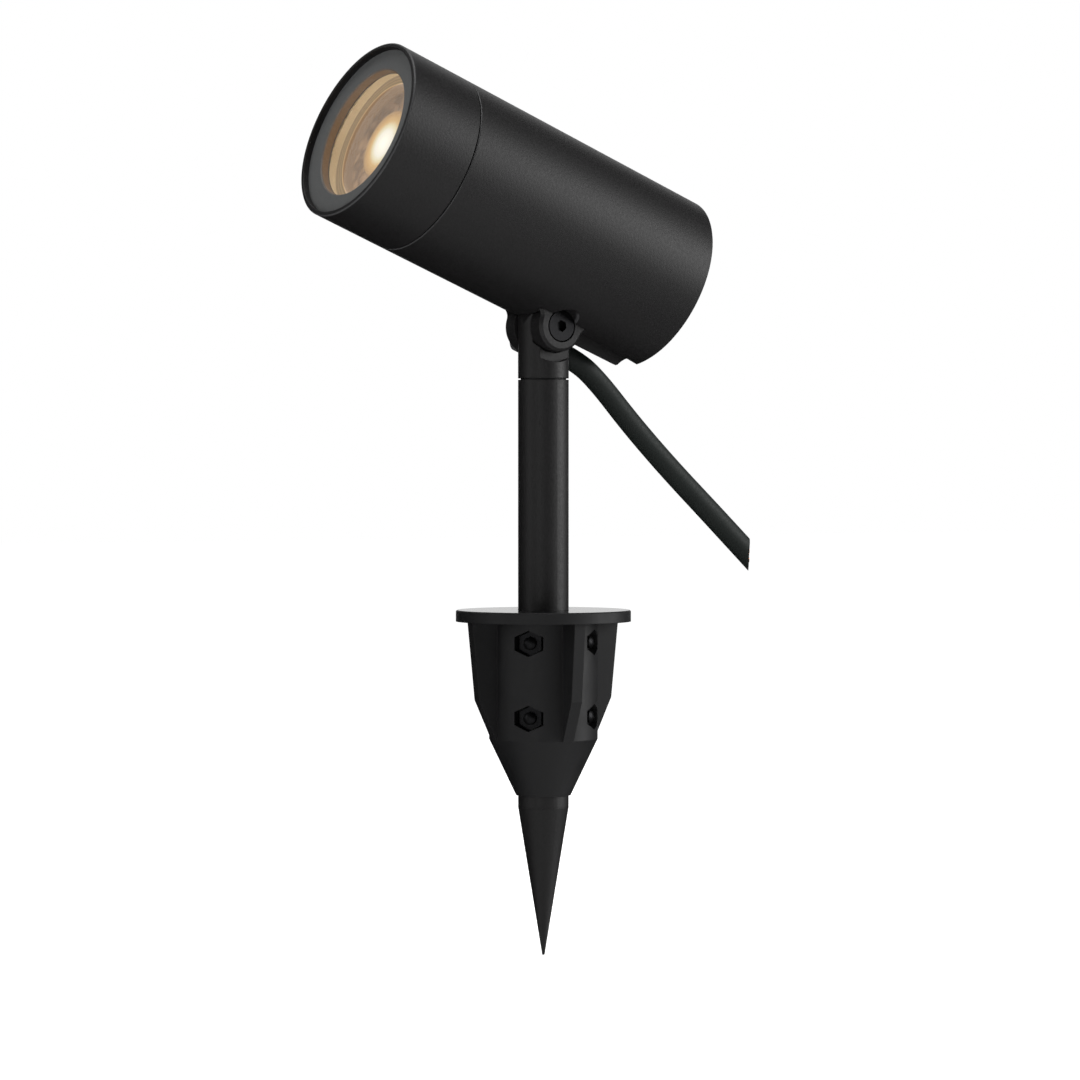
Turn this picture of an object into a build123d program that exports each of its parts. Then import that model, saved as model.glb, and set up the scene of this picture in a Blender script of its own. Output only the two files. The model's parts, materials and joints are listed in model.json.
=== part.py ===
from build123d import *

import math
import os

# Landscape spotlight on a ground spike, in millimetres.
# The origin is the centre of the collar flange's underside, which lies on the soil. +Z is up.
# The lamp aims towards -Y and up, and its hinge runs along X.

# General fits
FIT_GAP = 0.05
LOOSE_GAP = 0.2
EDGE_BREAK = 0.4
SEAM_BREAK = 0.25
SEAM_GAP = 0.3
POINT_TURN = 30.0

# Stem and point
STEM_DIAMETER = 16.5
STEM_WALL = 2.0
STEM_TOP = 78.5
STEM_BELOW_COLLAR = 3.9
TIP_LENGTH = 48.3
TIP_END_DIAMETER = 0.8
TIP_PLUG_LENGTH = 14.0

# Ground collar
FLANGE_DIAMETER = 57.0
FLANGE_THICKNESS = 3.7
DRUM_DIAMETER = 35.4
DRUM_DEPTH = 38.2
CONE_LENGTH = 18.4
CONE_END_WALL = 0.6
RIB_COUNT = 4
RIB_AZIMUTH = 83.2
RIB_THICKNESS = 3.8
RIB_TOP_INSET = 2.05
RIB_KNEE_INSET = 4.55
RIB_KNEE_RISE = 13.0
RIB_FOOT_REACH = 0.3

# Clamp nuts and studs in the collar
CLAMP_SWING = 42.5
CLAMP_NUT_FLATS = 7.0
CLAMP_NUT_THICKNESS = 3.2
NUT_SEAT_WALL = 3.3
POCKET_SIDE_GAP = 1.35
POCKET_POINT_GAP = 0.16
UPPER_POCKET_DEPTH = 6.6
LOWER_POCKET_RISE = 7.45
STUD_DIAMETER = 4.0
STUD_DOME_RISE = 0.8
STUD_SET_BACK = 0.4

# Swivel on top of the stem
INSERT_LENGTH = 12.0
SWIVEL_GROOVE_DEPTH = 0.85
SWIVEL_WASHER_THICKNESS = 0.5
SWIVEL_BOLT_DIAMETER = 6.0
SWIVEL_BOLT_HEAD_GAP = 1.15
SWIVEL_BOLT_HEAD_HEIGHT = 4.0
SWIVEL_BOLT_GRIP = 10.0
SPRING_WASHER_GAP = 0.85
SPRING_WASHER_THICKNESS = 1.2

# Hinge
HINGE_ABOVE_STEM = 17.2
TONGUE_THICKNESS = 8.6
KNUCKLE_FLATS = 12.4
FLAT_RUNOUT_RADIUS = 11.5
HINGE_SCREW_DIAMETER = 5.0
HINGE_HEAD_DIAMETER = 9.5
HINGE_HEAD_HEIGHT = 2.8
HINGE_SOCKET_FLATS = 3.4
HINGE_SOCKET_DEPTH = 1.8
COUNTERBORE_GAP = 0.45
HINGE_NUT_FLATS = 8.0
HINGE_NUT_THICKNESS = 4.0
FRICTION_WASHER_DIAMETER = 12.0
FRICTION_WASHER_THICKNESS = 0.5

# Yoke
EAR_RADIUS = 8.2
EAR_CLEARANCE = 0.4
EAR_THICKNESS = 6.0
EAR_CHAMFER = 0.9
EAR_COLUMN_WIDTH = 11.6
WING_THICKNESS = 1.0
WING_FILLET = 3.2
BRIDGE_THICKNESS = 2.5
YOKE_SCREW_DIAMETER = 3.0
YOKE_SCREW_HEAD_DIAMETER = 5.5
YOKE_SCREW_HEAD_HEIGHT = 2.4
YOKE_SCREW_REACH = 5.3

# Lamp head
HEAD_DIAMETER = 59.7
HEAD_LENGTH = 123.15
BEZEL_LENGTH = 26.5
HINGE_TO_REAR = 35.1
HINGE_BELOW_HEAD = 0.5
REST_TILT = 21.9
HIGHEST_TILT = 81.9
LOWEST_TILT = -25.2
CHANNEL_CLEARANCE = 0.35

# Bezel, ring and glass
RIM_WALL = 1.5
RIM_STEP = 2.0
GLARE_RING_THICKNESS = 3.2
GLARE_RING_WIDTH = 6.8
GLASS_THICKNESS = 4.0
GASKET_THICKNESS = 0.6
GASKET_LIP = 0.45
GLASS_LEDGE_WIDTH = 4.3
GLASS_LEDGE_THICKNESS = 2.0
BEZEL_WALL = 2.2

# Housing
SPIGOT_LENGTH = 9.0
SPIGOT_WALL = 2.8
REAR_WALL = 4.0
SINK_SHOULDER = 1.0
O_RING_SECTION = 1.6
KEEL_WALL = 1.2
KEEL_ROOF = 3.0
KEEL_FRONT_WALL = 6.5

# Optic, board and driver
LENS_FLANGE_THICKNESS = 2.0
LENS_FLANGE_GAP = 0.2
LENS_FLANGE_WIDTH = 3.6
LENS_GROOVE_WIDTH = 8.5
LENS_GROOVE_DEPTH = 3.4
LENS_GROOVE_TAPER = 0.6
LENS_DOME_SINK = 1.2
LENS_DOME_RISE = 0.8
LENS_SIDE_WALL = 1.6
LENS_SIDE_BULGE = 2.2
LENS_LENGTH = 17.0
LENS_FOOT_WALL = 1.4
LENS_WELL_GAP = 1.1
LENS_WELL_DEPTH = 4.0
HOLDER_WALL = 1.2
HOLDER_GAP = 0.4
BOARD_THICKNESS = 1.6
EMITTER_DIAMETER = 11.0
EMITTER_BASE = 1.0
EMITTER_DOME_DIAMETER = 8.0
EMITTER_DOME_HEIGHT = 1.6
BOARD_SCREW_CIRCLE = 32.0
BOARD_SCREW_DIAMETER = 3.0
BOARD_SCREW_HEAD_DIAMETER = 5.4
BOARD_SCREW_HEAD_HEIGHT = 1.6
BOARD_SCREW_REACH = 6.0
HEAT_SINK_LENGTH = 9.4
DRIVER_SIDE_GAP = 2.3
DRIVER_KEEL_GAP = 2.0
TERMINAL_WIDTH = 16.0
TERMINAL_LENGTH = 18.6
TERMINAL_HEIGHT = 10.0
TERMINAL_SCREW_GAP = 0.65
DRIVER_LEAD_SPREAD = 5.0

# Cable gland and cord
CORD_DIAMETER = 7.6
CORE_COUNT = 3
CORE_DIAMETER = 1.9
CORE_GAP = 0.2
CORE_BEND = 1.6
CORE_BEND_SHARE = 0.9
CORE_STEP = 1.8
WIRE_WAY_GAP = 0.25
WIRE_WAY_INSET = 1.0
GLAND_SHELL_GAP = 0.08354
GLAND_WALL = 1.0
GLAND_NUT_WALL = 0.5
GLAND_THREAD_LENGTH = 2.7
GLAND_COLLAR_LENGTH = 1.2
GLAND_STUB_LENGTH = 2.3
GLAND_SEAL_LENGTH = 2.0
GLAND_NUT_LIP = 1.2
BOSS_WALL = 1.4
BOSS_FRONT_WALL = 1.5
BOSS_NOSE = 2.6
BOSS_EAR_GAP = 0.2
BOSS_WEB_WIDTH = 9.0

# Route of the cord's free stretch from the gland's mouth to its cut end, in the plane of the gland
CORD_LEAD_OUT = 10.5
CORD_POINTS_Y_Z = (
    (33.3, 78.4),
    (46.3, 64.6),
    (62.6, 49.2),
    (79.9, 34.0),
    (95.3, 20.3),
)
CORD_BEND_SHARE = 0.45
CORD_CUT_TURN = 33.3

# Sizes of the spike and the swivel that follow from the ones above
STEM_RADIUS = STEM_DIAMETER / 2
STEM_BORE_RADIUS = STEM_RADIUS - STEM_WALL
CONE_DEPTH = DRUM_DEPTH + CONE_LENGTH
STEM_DEPTH = CONE_DEPTH + STEM_BELOW_COLLAR
TIP_DEPTH = STEM_DEPTH + TIP_LENGTH
POCKET_WIDTH = CLAMP_NUT_FLATS + 2 * POCKET_SIDE_GAP
POCKET_HEIGHT = CLAMP_NUT_FLATS / math.cos(math.radians(POINT_TURN)) + 2 * POCKET_POINT_GAP
POCKET_DEPTHS = (UPPER_POCKET_DEPTH, DRUM_DEPTH - LOWER_POCKET_RISE)
KNUCKLE_FLOOR = STEM_TOP + SWIVEL_WASHER_THICKNESS
HINGE_HEIGHT = STEM_TOP + HINGE_ABOVE_STEM

# Sizes of the yoke and the head that follow
HEAD_RADIUS = HEAD_DIAMETER / 2
HINGE_SETBACK = HEAD_LENGTH - HINGE_TO_REAR
HINGE_DROP = HEAD_RADIUS + HINGE_BELOW_HEAD
EAR_INNER = TONGUE_THICKNESS / 2 + FRICTION_WASHER_THICKNESS
EAR_OUTER = EAR_INNER + EAR_THICKNESS
EAR_MIDDLE = (EAR_INNER + EAR_OUTER) / 2
COUNTERBORE_RADIUS = HINGE_HEAD_DIAMETER / 2 + COUNTERBORE_GAP
CHANNEL_RADIUS = STEM_RADIUS + CHANNEL_CLEARANCE
BRIDGE_TOP = CHANNEL_RADIUS + BRIDGE_THICKNESS
KEEL_TOP = BRIDGE_TOP + KEEL_ROOF
KEEL_FRONT = CHANNEL_RADIUS + KEEL_FRONT_WALL
RIM_RADIUS = HEAD_RADIUS - RIM_WALL
BEZEL_BORE_RADIUS = HEAD_RADIUS - BEZEL_WALL
SPIGOT_RADIUS = BEZEL_BORE_RADIUS - LOOSE_GAP
SPIGOT_FRONT = BEZEL_LENGTH - SPIGOT_LENGTH
HOUSING_BORE_RADIUS = SPIGOT_RADIUS - SPIGOT_WALL
DRIVER_ROOM_RADIUS = HOUSING_BORE_RADIUS - SINK_SHOULDER
GLASS_FRONT = RIM_STEP + GLARE_RING_THICKNESS
GLASS_REAR = GLASS_FRONT + GLASS_THICKNESS
LEDGE_FRONT = GLASS_REAR + GASKET_THICKNESS
LEDGE_REAR = LEDGE_FRONT + GLASS_LEDGE_THICKNESS
LEDGE_RADIUS = RIM_RADIUS - GLASS_LEDGE_WIDTH
HOLDER_RADIUS = HOUSING_BORE_RADIUS - HOLDER_GAP
BOARD_FRONT = LEDGE_REAR + LENS_FLANGE_THICKNESS + LENS_LENGTH
BOARD_REAR = BOARD_FRONT + BOARD_THICKNESS
SINK_REAR = BOARD_REAR + HEAT_SINK_LENGTH
DRIVER_REAR = HINGE_SETBACK - KEEL_FRONT - DRIVER_KEEL_GAP
TERMINAL_SETBACK = YOKE_SCREW_HEAD_DIAMETER / 2 + TERMINAL_SCREW_GAP
TERMINAL_MIDDLE = KEEL_TOP + TERMINAL_HEIGHT / 2

# Sizes of the gland and the cord that follow
CORD_RADIUS = CORD_DIAMETER / 2
CORE_CIRCLE_RADIUS = (CORE_DIAMETER + CORE_GAP) / (2 * math.sin(math.pi / CORE_COUNT))
WIRE_WAY_RADIUS = CORE_CIRCLE_RADIUS + CORE_DIAMETER / 2 + WIRE_WAY_GAP
WIRE_WAY_SETBACK = TERMINAL_SETBACK + WIRE_WAY_INSET
CORD_START = WIRE_WAY_SETBACK + WIRE_WAY_RADIUS
GLAND_RADIUS = CORD_RADIUS + GLAND_WALL
GLAND_NUT_RADIUS = GLAND_RADIUS + GLAND_NUT_WALL
BOSS_RADIUS = GLAND_RADIUS + BOSS_WALL
BOSS_FRONT = WIRE_WAY_SETBACK - WIRE_WAY_RADIUS - BOSS_FRONT_WALL
BOSS_REAR = CORD_START + GLAND_THREAD_LENGTH
GLAND_OFFSET = -(EAR_OUTER + BOSS_EAR_GAP + BOSS_RADIUS)
GLAND_REACH = HEAD_RADIUS + GLAND_SHELL_GAP + GLAND_NUT_RADIUS
GLAND_DROP = math.sqrt(GLAND_REACH ** 2 - GLAND_OFFSET ** 2) - HINGE_DROP
GLAND_COLLAR_REAR = BOSS_REAR + GLAND_COLLAR_LENGTH
GLAND_STUB_REAR = GLAND_COLLAR_REAR + GLAND_STUB_LENGTH
GLAND_MOUTH = GLAND_STUB_REAR + GLAND_SEAL_LENGTH + GLAND_NUT_LIP


# Helpers
def rod(radius, start, end):
    """A cylinder on the Z axis between two heights."""
    return Pos(0, 0, start) * Cylinder(radius, end - start, align=(Align.CENTER, Align.CENTER, Align.MIN))


def tube(outer, inner, start, end):
    """A pipe on the Z axis between two heights."""
    return rod(outer, start, end) - rod(inner, start, end)


def turned(points):
    """A closed profile of (radius, height) points, turned about the Z axis."""
    return revolve(make_face(Plane.XZ * Polyline(*points, close=True)), Axis.Z)


def hexagon_rod(flats, start, end):
    """A hexagonal bar on the Z axis, given across its flats."""
    section = RegularPolygon(flats / 2, 6, major_radius=False)
    return Pos(0, 0, start) * extrude(section, end - start)


def across(shape):
    """Lays a shape built on the Z axis along the hinge, with Z turned to X."""
    return Rot(Y=90) * shape


def along_head(shape):
    """Lays a shape built on the Z axis along the head, with its height counted back from the front rim."""
    return Pos(0, -HINGE_SETBACK, HINGE_DROP) * Rot(X=-90) * shape


def along_gland(shape):
    """Lays a shape built on the Z axis along the gland, with its height counted back from the hinge."""
    return Pos(GLAND_OFFSET, 0, -GLAND_DROP) * Rot(X=-90) * shape


def tilted(shape):
    """Puts a shape of the head, built level about the hinge, in its resting place."""
    return Pos(0, 0, HINGE_HEIGHT) * Rot(X=-REST_TILT) * shape


def block(x_range, y_range, z_range):
    """A box between three pairs of limits."""
    low = [limits[0] for limits in (x_range, y_range, z_range)]
    sides = [limits[1] - limits[0] for limits in (x_range, y_range, z_range)]
    return Pos(*low) * Box(*sides, align=(Align.MIN, Align.MIN, Align.MIN))


def joined(shapes):
    """Separate solids of one node, kept apart."""
    return Compound(children=[solid for shape in shapes for solid in shape.solids()])


# Ground spike
def clamp_places():
    """The places of the collar's nuts, with Z pointing out of the stem."""
    for half_turn in (0, 180):
        for swing in (-CLAMP_SWING, CLAMP_SWING):
            for depth in POCKET_DEPTHS:
                yield Pos(0, 0, -depth) * Rot(Z=RIB_AZIMUTH + half_turn + swing) * Rot(X=90)


def pocket_section():
    """Outline of a nut pocket: upright flats at its sides, points above and below."""
    half_width = POCKET_WIDTH / 2
    half_height = POCKET_HEIGHT / 2
    shoulder = half_height / 2
    right = [(half_width, -shoulder), (half_width, shoulder), (0, half_height)]
    left = [(-half_width, shoulder), (-half_width, -shoulder), (0, -half_height)]
    return make_face(Polyline(*right, *left, close=True))


def rib():
    """One upright rib of the collar, facing -Y."""
    root = (STEM_RADIUS + DRUM_DIAMETER / 2) / 2
    drum = DRUM_DIAMETER / 2
    flange = FLANGE_DIAMETER / 2
    outline = Polyline(
        (root, 0),
        (flange - RIB_TOP_INSET, 0),
        (flange - RIB_KNEE_INSET, RIB_KNEE_RISE - DRUM_DEPTH),
        (drum + RIB_FOOT_REACH, -DRUM_DEPTH),
        (root, -DRUM_DEPTH),
        close=True,
    )
    plate = extrude(make_face(Plane.XZ * outline), RIB_THICKNESS / 2, both=True)
    return Rot(Z=-90) * plate


def ground_collar():
    """Flange, drum and cone in one moulding, with ribs, nut pockets and the stem's bore."""
    flange = FLANGE_DIAMETER / 2
    drum = DRUM_DIAMETER / 2
    bore = STEM_RADIUS + FIT_GAP
    body = turned([
        (bore, FLANGE_THICKNESS),
        (flange - EDGE_BREAK, FLANGE_THICKNESS),
        (flange, FLANGE_THICKNESS - EDGE_BREAK),
        (flange, 0),
        (drum, 0),
        (drum, -DRUM_DEPTH),
        (bore + CONE_END_WALL, -CONE_DEPTH),
        (bore, -CONE_DEPTH),
    ])
    for index in range(RIB_COUNT):
        body += Rot(Z=RIB_AZIMUTH + index * 360 / RIB_COUNT) * rib()
    seat = bore + NUT_SEAT_WALL
    pocket = Pos(0, 0, seat) * extrude(pocket_section(), flange - seat)
    stud_hole = rod(STUD_DIAMETER / 2 + FIT_GAP, 0, flange)
    for place in clamp_places():
        body -= place * pocket
        body -= place * stud_hole
    return body


def collar_nuts():
    """One nut in each pocket, points up and down."""
    seat = STEM_RADIUS + FIT_GAP + NUT_SEAT_WALL
    nut = Rot(Z=POINT_TURN) * hexagon_rod(CLAMP_NUT_FLATS, seat, seat + CLAMP_NUT_THICKNESS)
    nut -= rod(STUD_DIAMETER / 2 + FIT_GAP, 0, FLANGE_DIAMETER)
    return joined([place * nut for place in clamp_places()])


def collar_studs():
    """Domed studs from the stem, through the nuts, to just inside the drum's surface."""
    radius = STUD_DIAMETER / 2
    start = STEM_RADIUS + FIT_GAP
    end = DRUM_DIAMETER / 2 - STUD_SET_BACK
    shoulder = end - STUD_DOME_RISE
    sides = Polyline((0, end), (0, start), (radius, start), (radius, shoulder))
    dome = TangentArc((0, end), (radius, shoulder), tangent=(1, 0))
    stud = revolve(make_face(Plane.XZ * (sides + dome)), Axis.Z)
    return joined([place * stud for place in clamp_places()])


def stem_tube():
    """Tube from the swivel down through the collar."""
    return tube(STEM_RADIUS, STEM_BORE_RADIUS, -STEM_DEPTH, STEM_TOP)


def spike_tip():
    """Solid point with a plug that fills the tube's lower end."""
    plug = STEM_BORE_RADIUS - FIT_GAP
    return turned([
        (0, TIP_PLUG_LENGTH - STEM_DEPTH),
        (plug - EDGE_BREAK, TIP_PLUG_LENGTH - STEM_DEPTH),
        (plug, TIP_PLUG_LENGTH - STEM_DEPTH - EDGE_BREAK),
        (plug, -STEM_DEPTH),
        (STEM_RADIUS, -STEM_DEPTH),
        (TIP_END_DIAMETER / 2, -TIP_DEPTH),
        (0, -TIP_DEPTH),
    ])


def stem_insert():
    """Bored plug, flush with the tube's upper end."""
    outer = STEM_BORE_RADIUS - FIT_GAP
    return tube(outer, SWIVEL_BOLT_DIAMETER / 2 + FIT_GAP, STEM_TOP - INSERT_LENGTH, STEM_TOP)


# Swivel
def swivel_knuckle():
    """Turned piece with side flats and a rounded tongue between two ear pockets."""
    body = rod(STEM_RADIUS, KNUCKLE_FLOOR - HINGE_HEIGHT, STEM_RADIUS)
    tip = across(rod(STEM_RADIUS, -STEM_RADIUS, STEM_RADIUS))
    below = block((-STEM_RADIUS, STEM_RADIUS), (-STEM_RADIUS, STEM_RADIUS), (KNUCKLE_FLOOR - HINGE_HEIGHT, 0))
    body &= tip + below
    flat = rod(FLAT_RUNOUT_RADIUS, KNUCKLE_FLATS / 2, STEM_DIAMETER)
    pocket = rod(EAR_RADIUS + EAR_CLEARANCE, TONGUE_THICKNESS / 2, STEM_DIAMETER)
    above = block((TONGUE_THICKNESS / 2, STEM_DIAMETER), (-STEM_DIAMETER, STEM_DIAMETER), (0, STEM_DIAMETER))
    cut = across(flat) + across(pocket) + above
    body -= cut
    body -= mirror(cut, Plane.YZ)
    body -= across(rod(HINGE_SCREW_DIAMETER / 2 + FIT_GAP, -STEM_DIAMETER, STEM_DIAMETER))
    floor = KNUCKLE_FLOOR - HINGE_HEIGHT
    body -= rod(SWIVEL_BOLT_DIAMETER / 2 + FIT_GAP, floor, floor + SWIVEL_BOLT_GRIP)
    return Pos(0, 0, HINGE_HEIGHT) * body


def swivel_bolt():
    """Bolt from inside the stem, up through the insert into the knuckle."""
    insert_floor = STEM_TOP - INSERT_LENGTH
    head_top = insert_floor - SPRING_WASHER_THICKNESS
    shank = rod(SWIVEL_BOLT_DIAMETER / 2, head_top, KNUCKLE_FLOOR + SWIVEL_BOLT_GRIP)
    head_radius = STEM_BORE_RADIUS - SWIVEL_BOLT_HEAD_GAP
    return shank + rod(head_radius, head_top - SWIVEL_BOLT_HEAD_HEIGHT, head_top)


def swivel_washer():
    """Thin washer between stem and knuckle."""
    outer = STEM_RADIUS - SWIVEL_GROOVE_DEPTH
    return tube(outer, SWIVEL_BOLT_DIAMETER / 2 + FIT_GAP, STEM_TOP, KNUCKLE_FLOOR)


def swivel_spring_washer():
    """Spring washer between the bolt's head and the insert."""
    floor = STEM_TOP - INSERT_LENGTH
    outer = STEM_BORE_RADIUS - SPRING_WASHER_GAP
    inner = SWIVEL_BOLT_DIAMETER / 2 + FIT_GAP
    return tube(outer, inner, floor - SPRING_WASHER_THICKNESS, floor)


# Hinge and yoke
def ear_outline():
    """Side view of an ear, flared into two thin tips by concave fillets and carried on into the head."""
    surface = HINGE_DROP - math.sqrt(HEAD_RADIUS ** 2 - EAR_OUTER ** 2)
    top = surface + EAR_RADIUS
    span = EAR_RADIUS + WING_FILLET
    lean = math.asin((surface - WING_FILLET) / span)
    fillet_middle = span * Vector(math.cos(lean), math.sin(lean))
    half_way = 0.75 * math.pi + lean / 2
    bend = fillet_middle + WING_FILLET * Vector(math.cos(half_way), math.sin(half_way))
    touch = EAR_RADIUS * Vector(math.cos(lean), math.sin(lean))
    corner = Vector(fillet_middle.X, surface)
    side = Line((corner.X, top), corner) + ThreePointArc(corner, bend, touch)
    round_edge = ThreePointArc(touch, (0, -EAR_RADIUS), (-touch.X, touch.Y))
    roof = Line((-corner.X, top), (corner.X, top))
    return Plane.YZ * make_face(side + mirror(side, Plane.YZ) + round_edge + roof)


def hinge_hex(flats, start, end):
    """A hexagonal bar along the hinge."""
    return across(hexagon_rod(flats, start, end))


def yoke():
    """Two ears on columns that pass into the housing, joined there by a bridge."""
    thick_ear = across(rod(EAR_RADIUS, EAR_INNER, EAR_OUTER - WING_THICKNESS))
    wing = Pos(EAR_OUTER - WING_THICKNESS, 0, 0) * extrude(ear_outline(), WING_THICKNESS)
    wing = chamfer(wing.faces().sort_by(Axis.X)[-1].edges(), EAR_CHAMFER)
    head_space = along_head(rod(HEAD_RADIUS + FIT_GAP, 0, HEAD_LENGTH))
    ear = thick_ear + wing - head_space
    half_column = EAR_COLUMN_WIDTH / 2
    ear += block((EAR_INNER, EAR_OUTER), (-half_column, half_column), (0, BRIDGE_TOP))
    body = ear + mirror(ear, Plane.YZ)
    body += block((-EAR_INNER, EAR_INNER), (-half_column, half_column), (CHANNEL_RADIUS, BRIDGE_TOP))
    body -= across(rod(HINGE_SCREW_DIAMETER / 2 + FIT_GAP, -EAR_OUTER, EAR_OUTER))
    body -= across(rod(COUNTERBORE_RADIUS, EAR_OUTER - HINGE_HEAD_HEIGHT, EAR_OUTER))
    body -= hinge_hex(HINGE_NUT_FLATS + 2 * FIT_GAP, -EAR_OUTER, HINGE_NUT_THICKNESS - EAR_OUTER)
    for place in yoke_screw_places():
        body -= place * rod(YOKE_SCREW_DIAMETER / 2 + FIT_GAP, BRIDGE_TOP - YOKE_SCREW_REACH, BRIDGE_TOP)
    return tilted(body)


def yoke_screw_places():
    """One screw down into each ear's column."""
    for side in (-1, 1):
        yield Pos(side * EAR_MIDDLE, 0, 0)


def yoke_screws():
    """Screws through the roof of the housing's keel into the yoke."""
    shank = rod(YOKE_SCREW_DIAMETER / 2, BRIDGE_TOP - YOKE_SCREW_REACH, KEEL_TOP)
    head = rod(YOKE_SCREW_HEAD_DIAMETER / 2, KEEL_TOP, KEEL_TOP + YOKE_SCREW_HEAD_HEIGHT)
    return tilted(joined([place * (shank + head) for place in yoke_screw_places()]))


def hinge_screw():
    """Socket screw, flush with the near ear, through to the nut in the far ear."""
    seat = EAR_OUTER - HINGE_HEAD_HEIGHT
    body = rod(HINGE_SCREW_DIAMETER / 2, -EAR_OUTER, seat)
    body += rod(HINGE_HEAD_DIAMETER / 2, seat, EAR_OUTER)
    body -= Rot(Z=POINT_TURN) * hexagon_rod(HINGE_SOCKET_FLATS, EAR_OUTER - HINGE_SOCKET_DEPTH, EAR_OUTER)
    return tilted(across(body))


def hinge_nut():
    """Hexagon nut, sunk in the far ear."""
    body = hexagon_rod(HINGE_NUT_FLATS, -EAR_OUTER, HINGE_NUT_THICKNESS - EAR_OUTER)
    body -= rod(HINGE_SCREW_DIAMETER / 2 + FIT_GAP, -EAR_OUTER, EAR_OUTER)
    return tilted(across(body))


def friction_washers():
    """A washer on each side of the tongue."""
    inner = HINGE_SCREW_DIAMETER / 2 + FIT_GAP
    washer = across(tube(FRICTION_WASHER_DIAMETER / 2, inner, TONGUE_THICKNESS / 2, EAR_INNER))
    return tilted(joined([washer, mirror(washer, Plane.YZ)]))


# Lamp head
def stem_channel():
    """The room that the swivel and the stem need between the lowest and the highest tilt."""
    room = across(rod(CHANNEL_RADIUS, -CHANNEL_RADIUS, CHANNEL_RADIUS))
    for tilt in (LOWEST_TILT, HIGHEST_TILT):
        room += Rot(X=tilt) * rod(CHANNEL_RADIUS, -HEAD_LENGTH, 0)
    return room


def head_housing():
    """Cast cylinder with a closed rear end, a keel over the stem channel and a boss for the gland."""
    groove = BEZEL_BORE_RADIUS - O_RING_SECTION - LOOSE_GAP
    groove_front = SPIGOT_FRONT + SPIGOT_LENGTH / 2 - O_RING_SECTION
    groove_rear = groove_front + 2 * O_RING_SECTION
    shell = turned([
        (HOUSING_BORE_RADIUS, SPIGOT_FRONT),
        (SPIGOT_RADIUS, SPIGOT_FRONT),
        (SPIGOT_RADIUS, groove_front),
        (groove, groove_front),
        (groove, groove_rear),
        (SPIGOT_RADIUS, groove_rear),
        (SPIGOT_RADIUS, BEZEL_LENGTH),
        (HEAD_RADIUS - SEAM_BREAK, BEZEL_LENGTH),
        (HEAD_RADIUS, BEZEL_LENGTH + SEAM_BREAK),
        (HEAD_RADIUS, HEAD_LENGTH - EDGE_BREAK),
        (HEAD_RADIUS - EDGE_BREAK, HEAD_LENGTH),
        (0, HEAD_LENGTH),
        (0, HEAD_LENGTH - REAR_WALL),
        (DRIVER_ROOM_RADIUS, HEAD_LENGTH - REAR_WALL),
        (DRIVER_ROOM_RADIUS, SINK_REAR),
        (HOUSING_BORE_RADIUS, SINK_REAR),
    ])
    body = along_head(shell)
    inside = along_head(rod(HEAD_RADIUS - EDGE_BREAK, SINK_REAR, HEAD_LENGTH - REAR_WALL / 2))
    keel_side = EAR_OUTER + KEEL_WALL
    keel = block((-keel_side, keel_side), (-KEEL_FRONT, HINGE_TO_REAR), (0, KEEL_TOP))
    body += keel & inside
    body += gland_boss()
    body -= stem_channel()
    half_column = EAR_COLUMN_WIDTH / 2 + FIT_GAP
    ear_room = EAR_OUTER + FIT_GAP
    body -= block((-ear_room, ear_room), (-half_column, half_column), (-HINGE_DROP, BRIDGE_TOP))
    for place in yoke_screw_places():
        body -= place * rod(YOKE_SCREW_DIAMETER / 2 + FIT_GAP, BRIDGE_TOP, KEEL_TOP)
    body -= across(rod(COUNTERBORE_RADIUS, EAR_OUTER, HEAD_RADIUS))
    body -= along_gland(rod(GLAND_RADIUS + FIT_GAP, CORD_START, BOSS_REAR))
    body -= wire_way()
    return tilted(body)


def gland_boss():
    """Round boss low on the housing's far side, with a web up to the shell."""
    round_part = along_gland(turned([
        (0, BOSS_FRONT),
        (BOSS_RADIUS - BOSS_NOSE, BOSS_FRONT),
        (BOSS_RADIUS, BOSS_FRONT + BOSS_NOSE),
        (BOSS_RADIUS, BOSS_REAR),
        (0, BOSS_REAR),
    ]))
    half_web = BOSS_WEB_WIDTH / 2
    web_top = HINGE_DROP - math.sqrt(HEAD_RADIUS ** 2 - (abs(GLAND_OFFSET) + half_web) ** 2)
    web = block(
        (GLAND_OFFSET - half_web, GLAND_OFFSET + half_web),
        (BOSS_FRONT + BOSS_NOSE, BOSS_REAR),
        (-GLAND_DROP, web_top),
    )
    hollow = along_head(rod(HEAD_RADIUS - SPIGOT_WALL, 0, HEAD_LENGTH))
    return round_part + web - hollow


def wire_way():
    """Passage from the gland up to the terminal block's height, and over to the block."""
    rise = rod(WIRE_WAY_RADIUS, -GLAND_DROP - WIRE_WAY_RADIUS, TERMINAL_MIDDLE)
    crossing = Pos(0, 0, TERMINAL_MIDDLE) * across(rod(WIRE_WAY_RADIUS - LOOSE_GAP, 0, -GLAND_OFFSET))
    entry = along_gland(rod(WIRE_WAY_RADIUS - LOOSE_GAP, WIRE_WAY_SETBACK, CORD_START))
    return Pos(GLAND_OFFSET, WIRE_WAY_SETBACK, 0) * (rise + crossing) + entry


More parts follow.
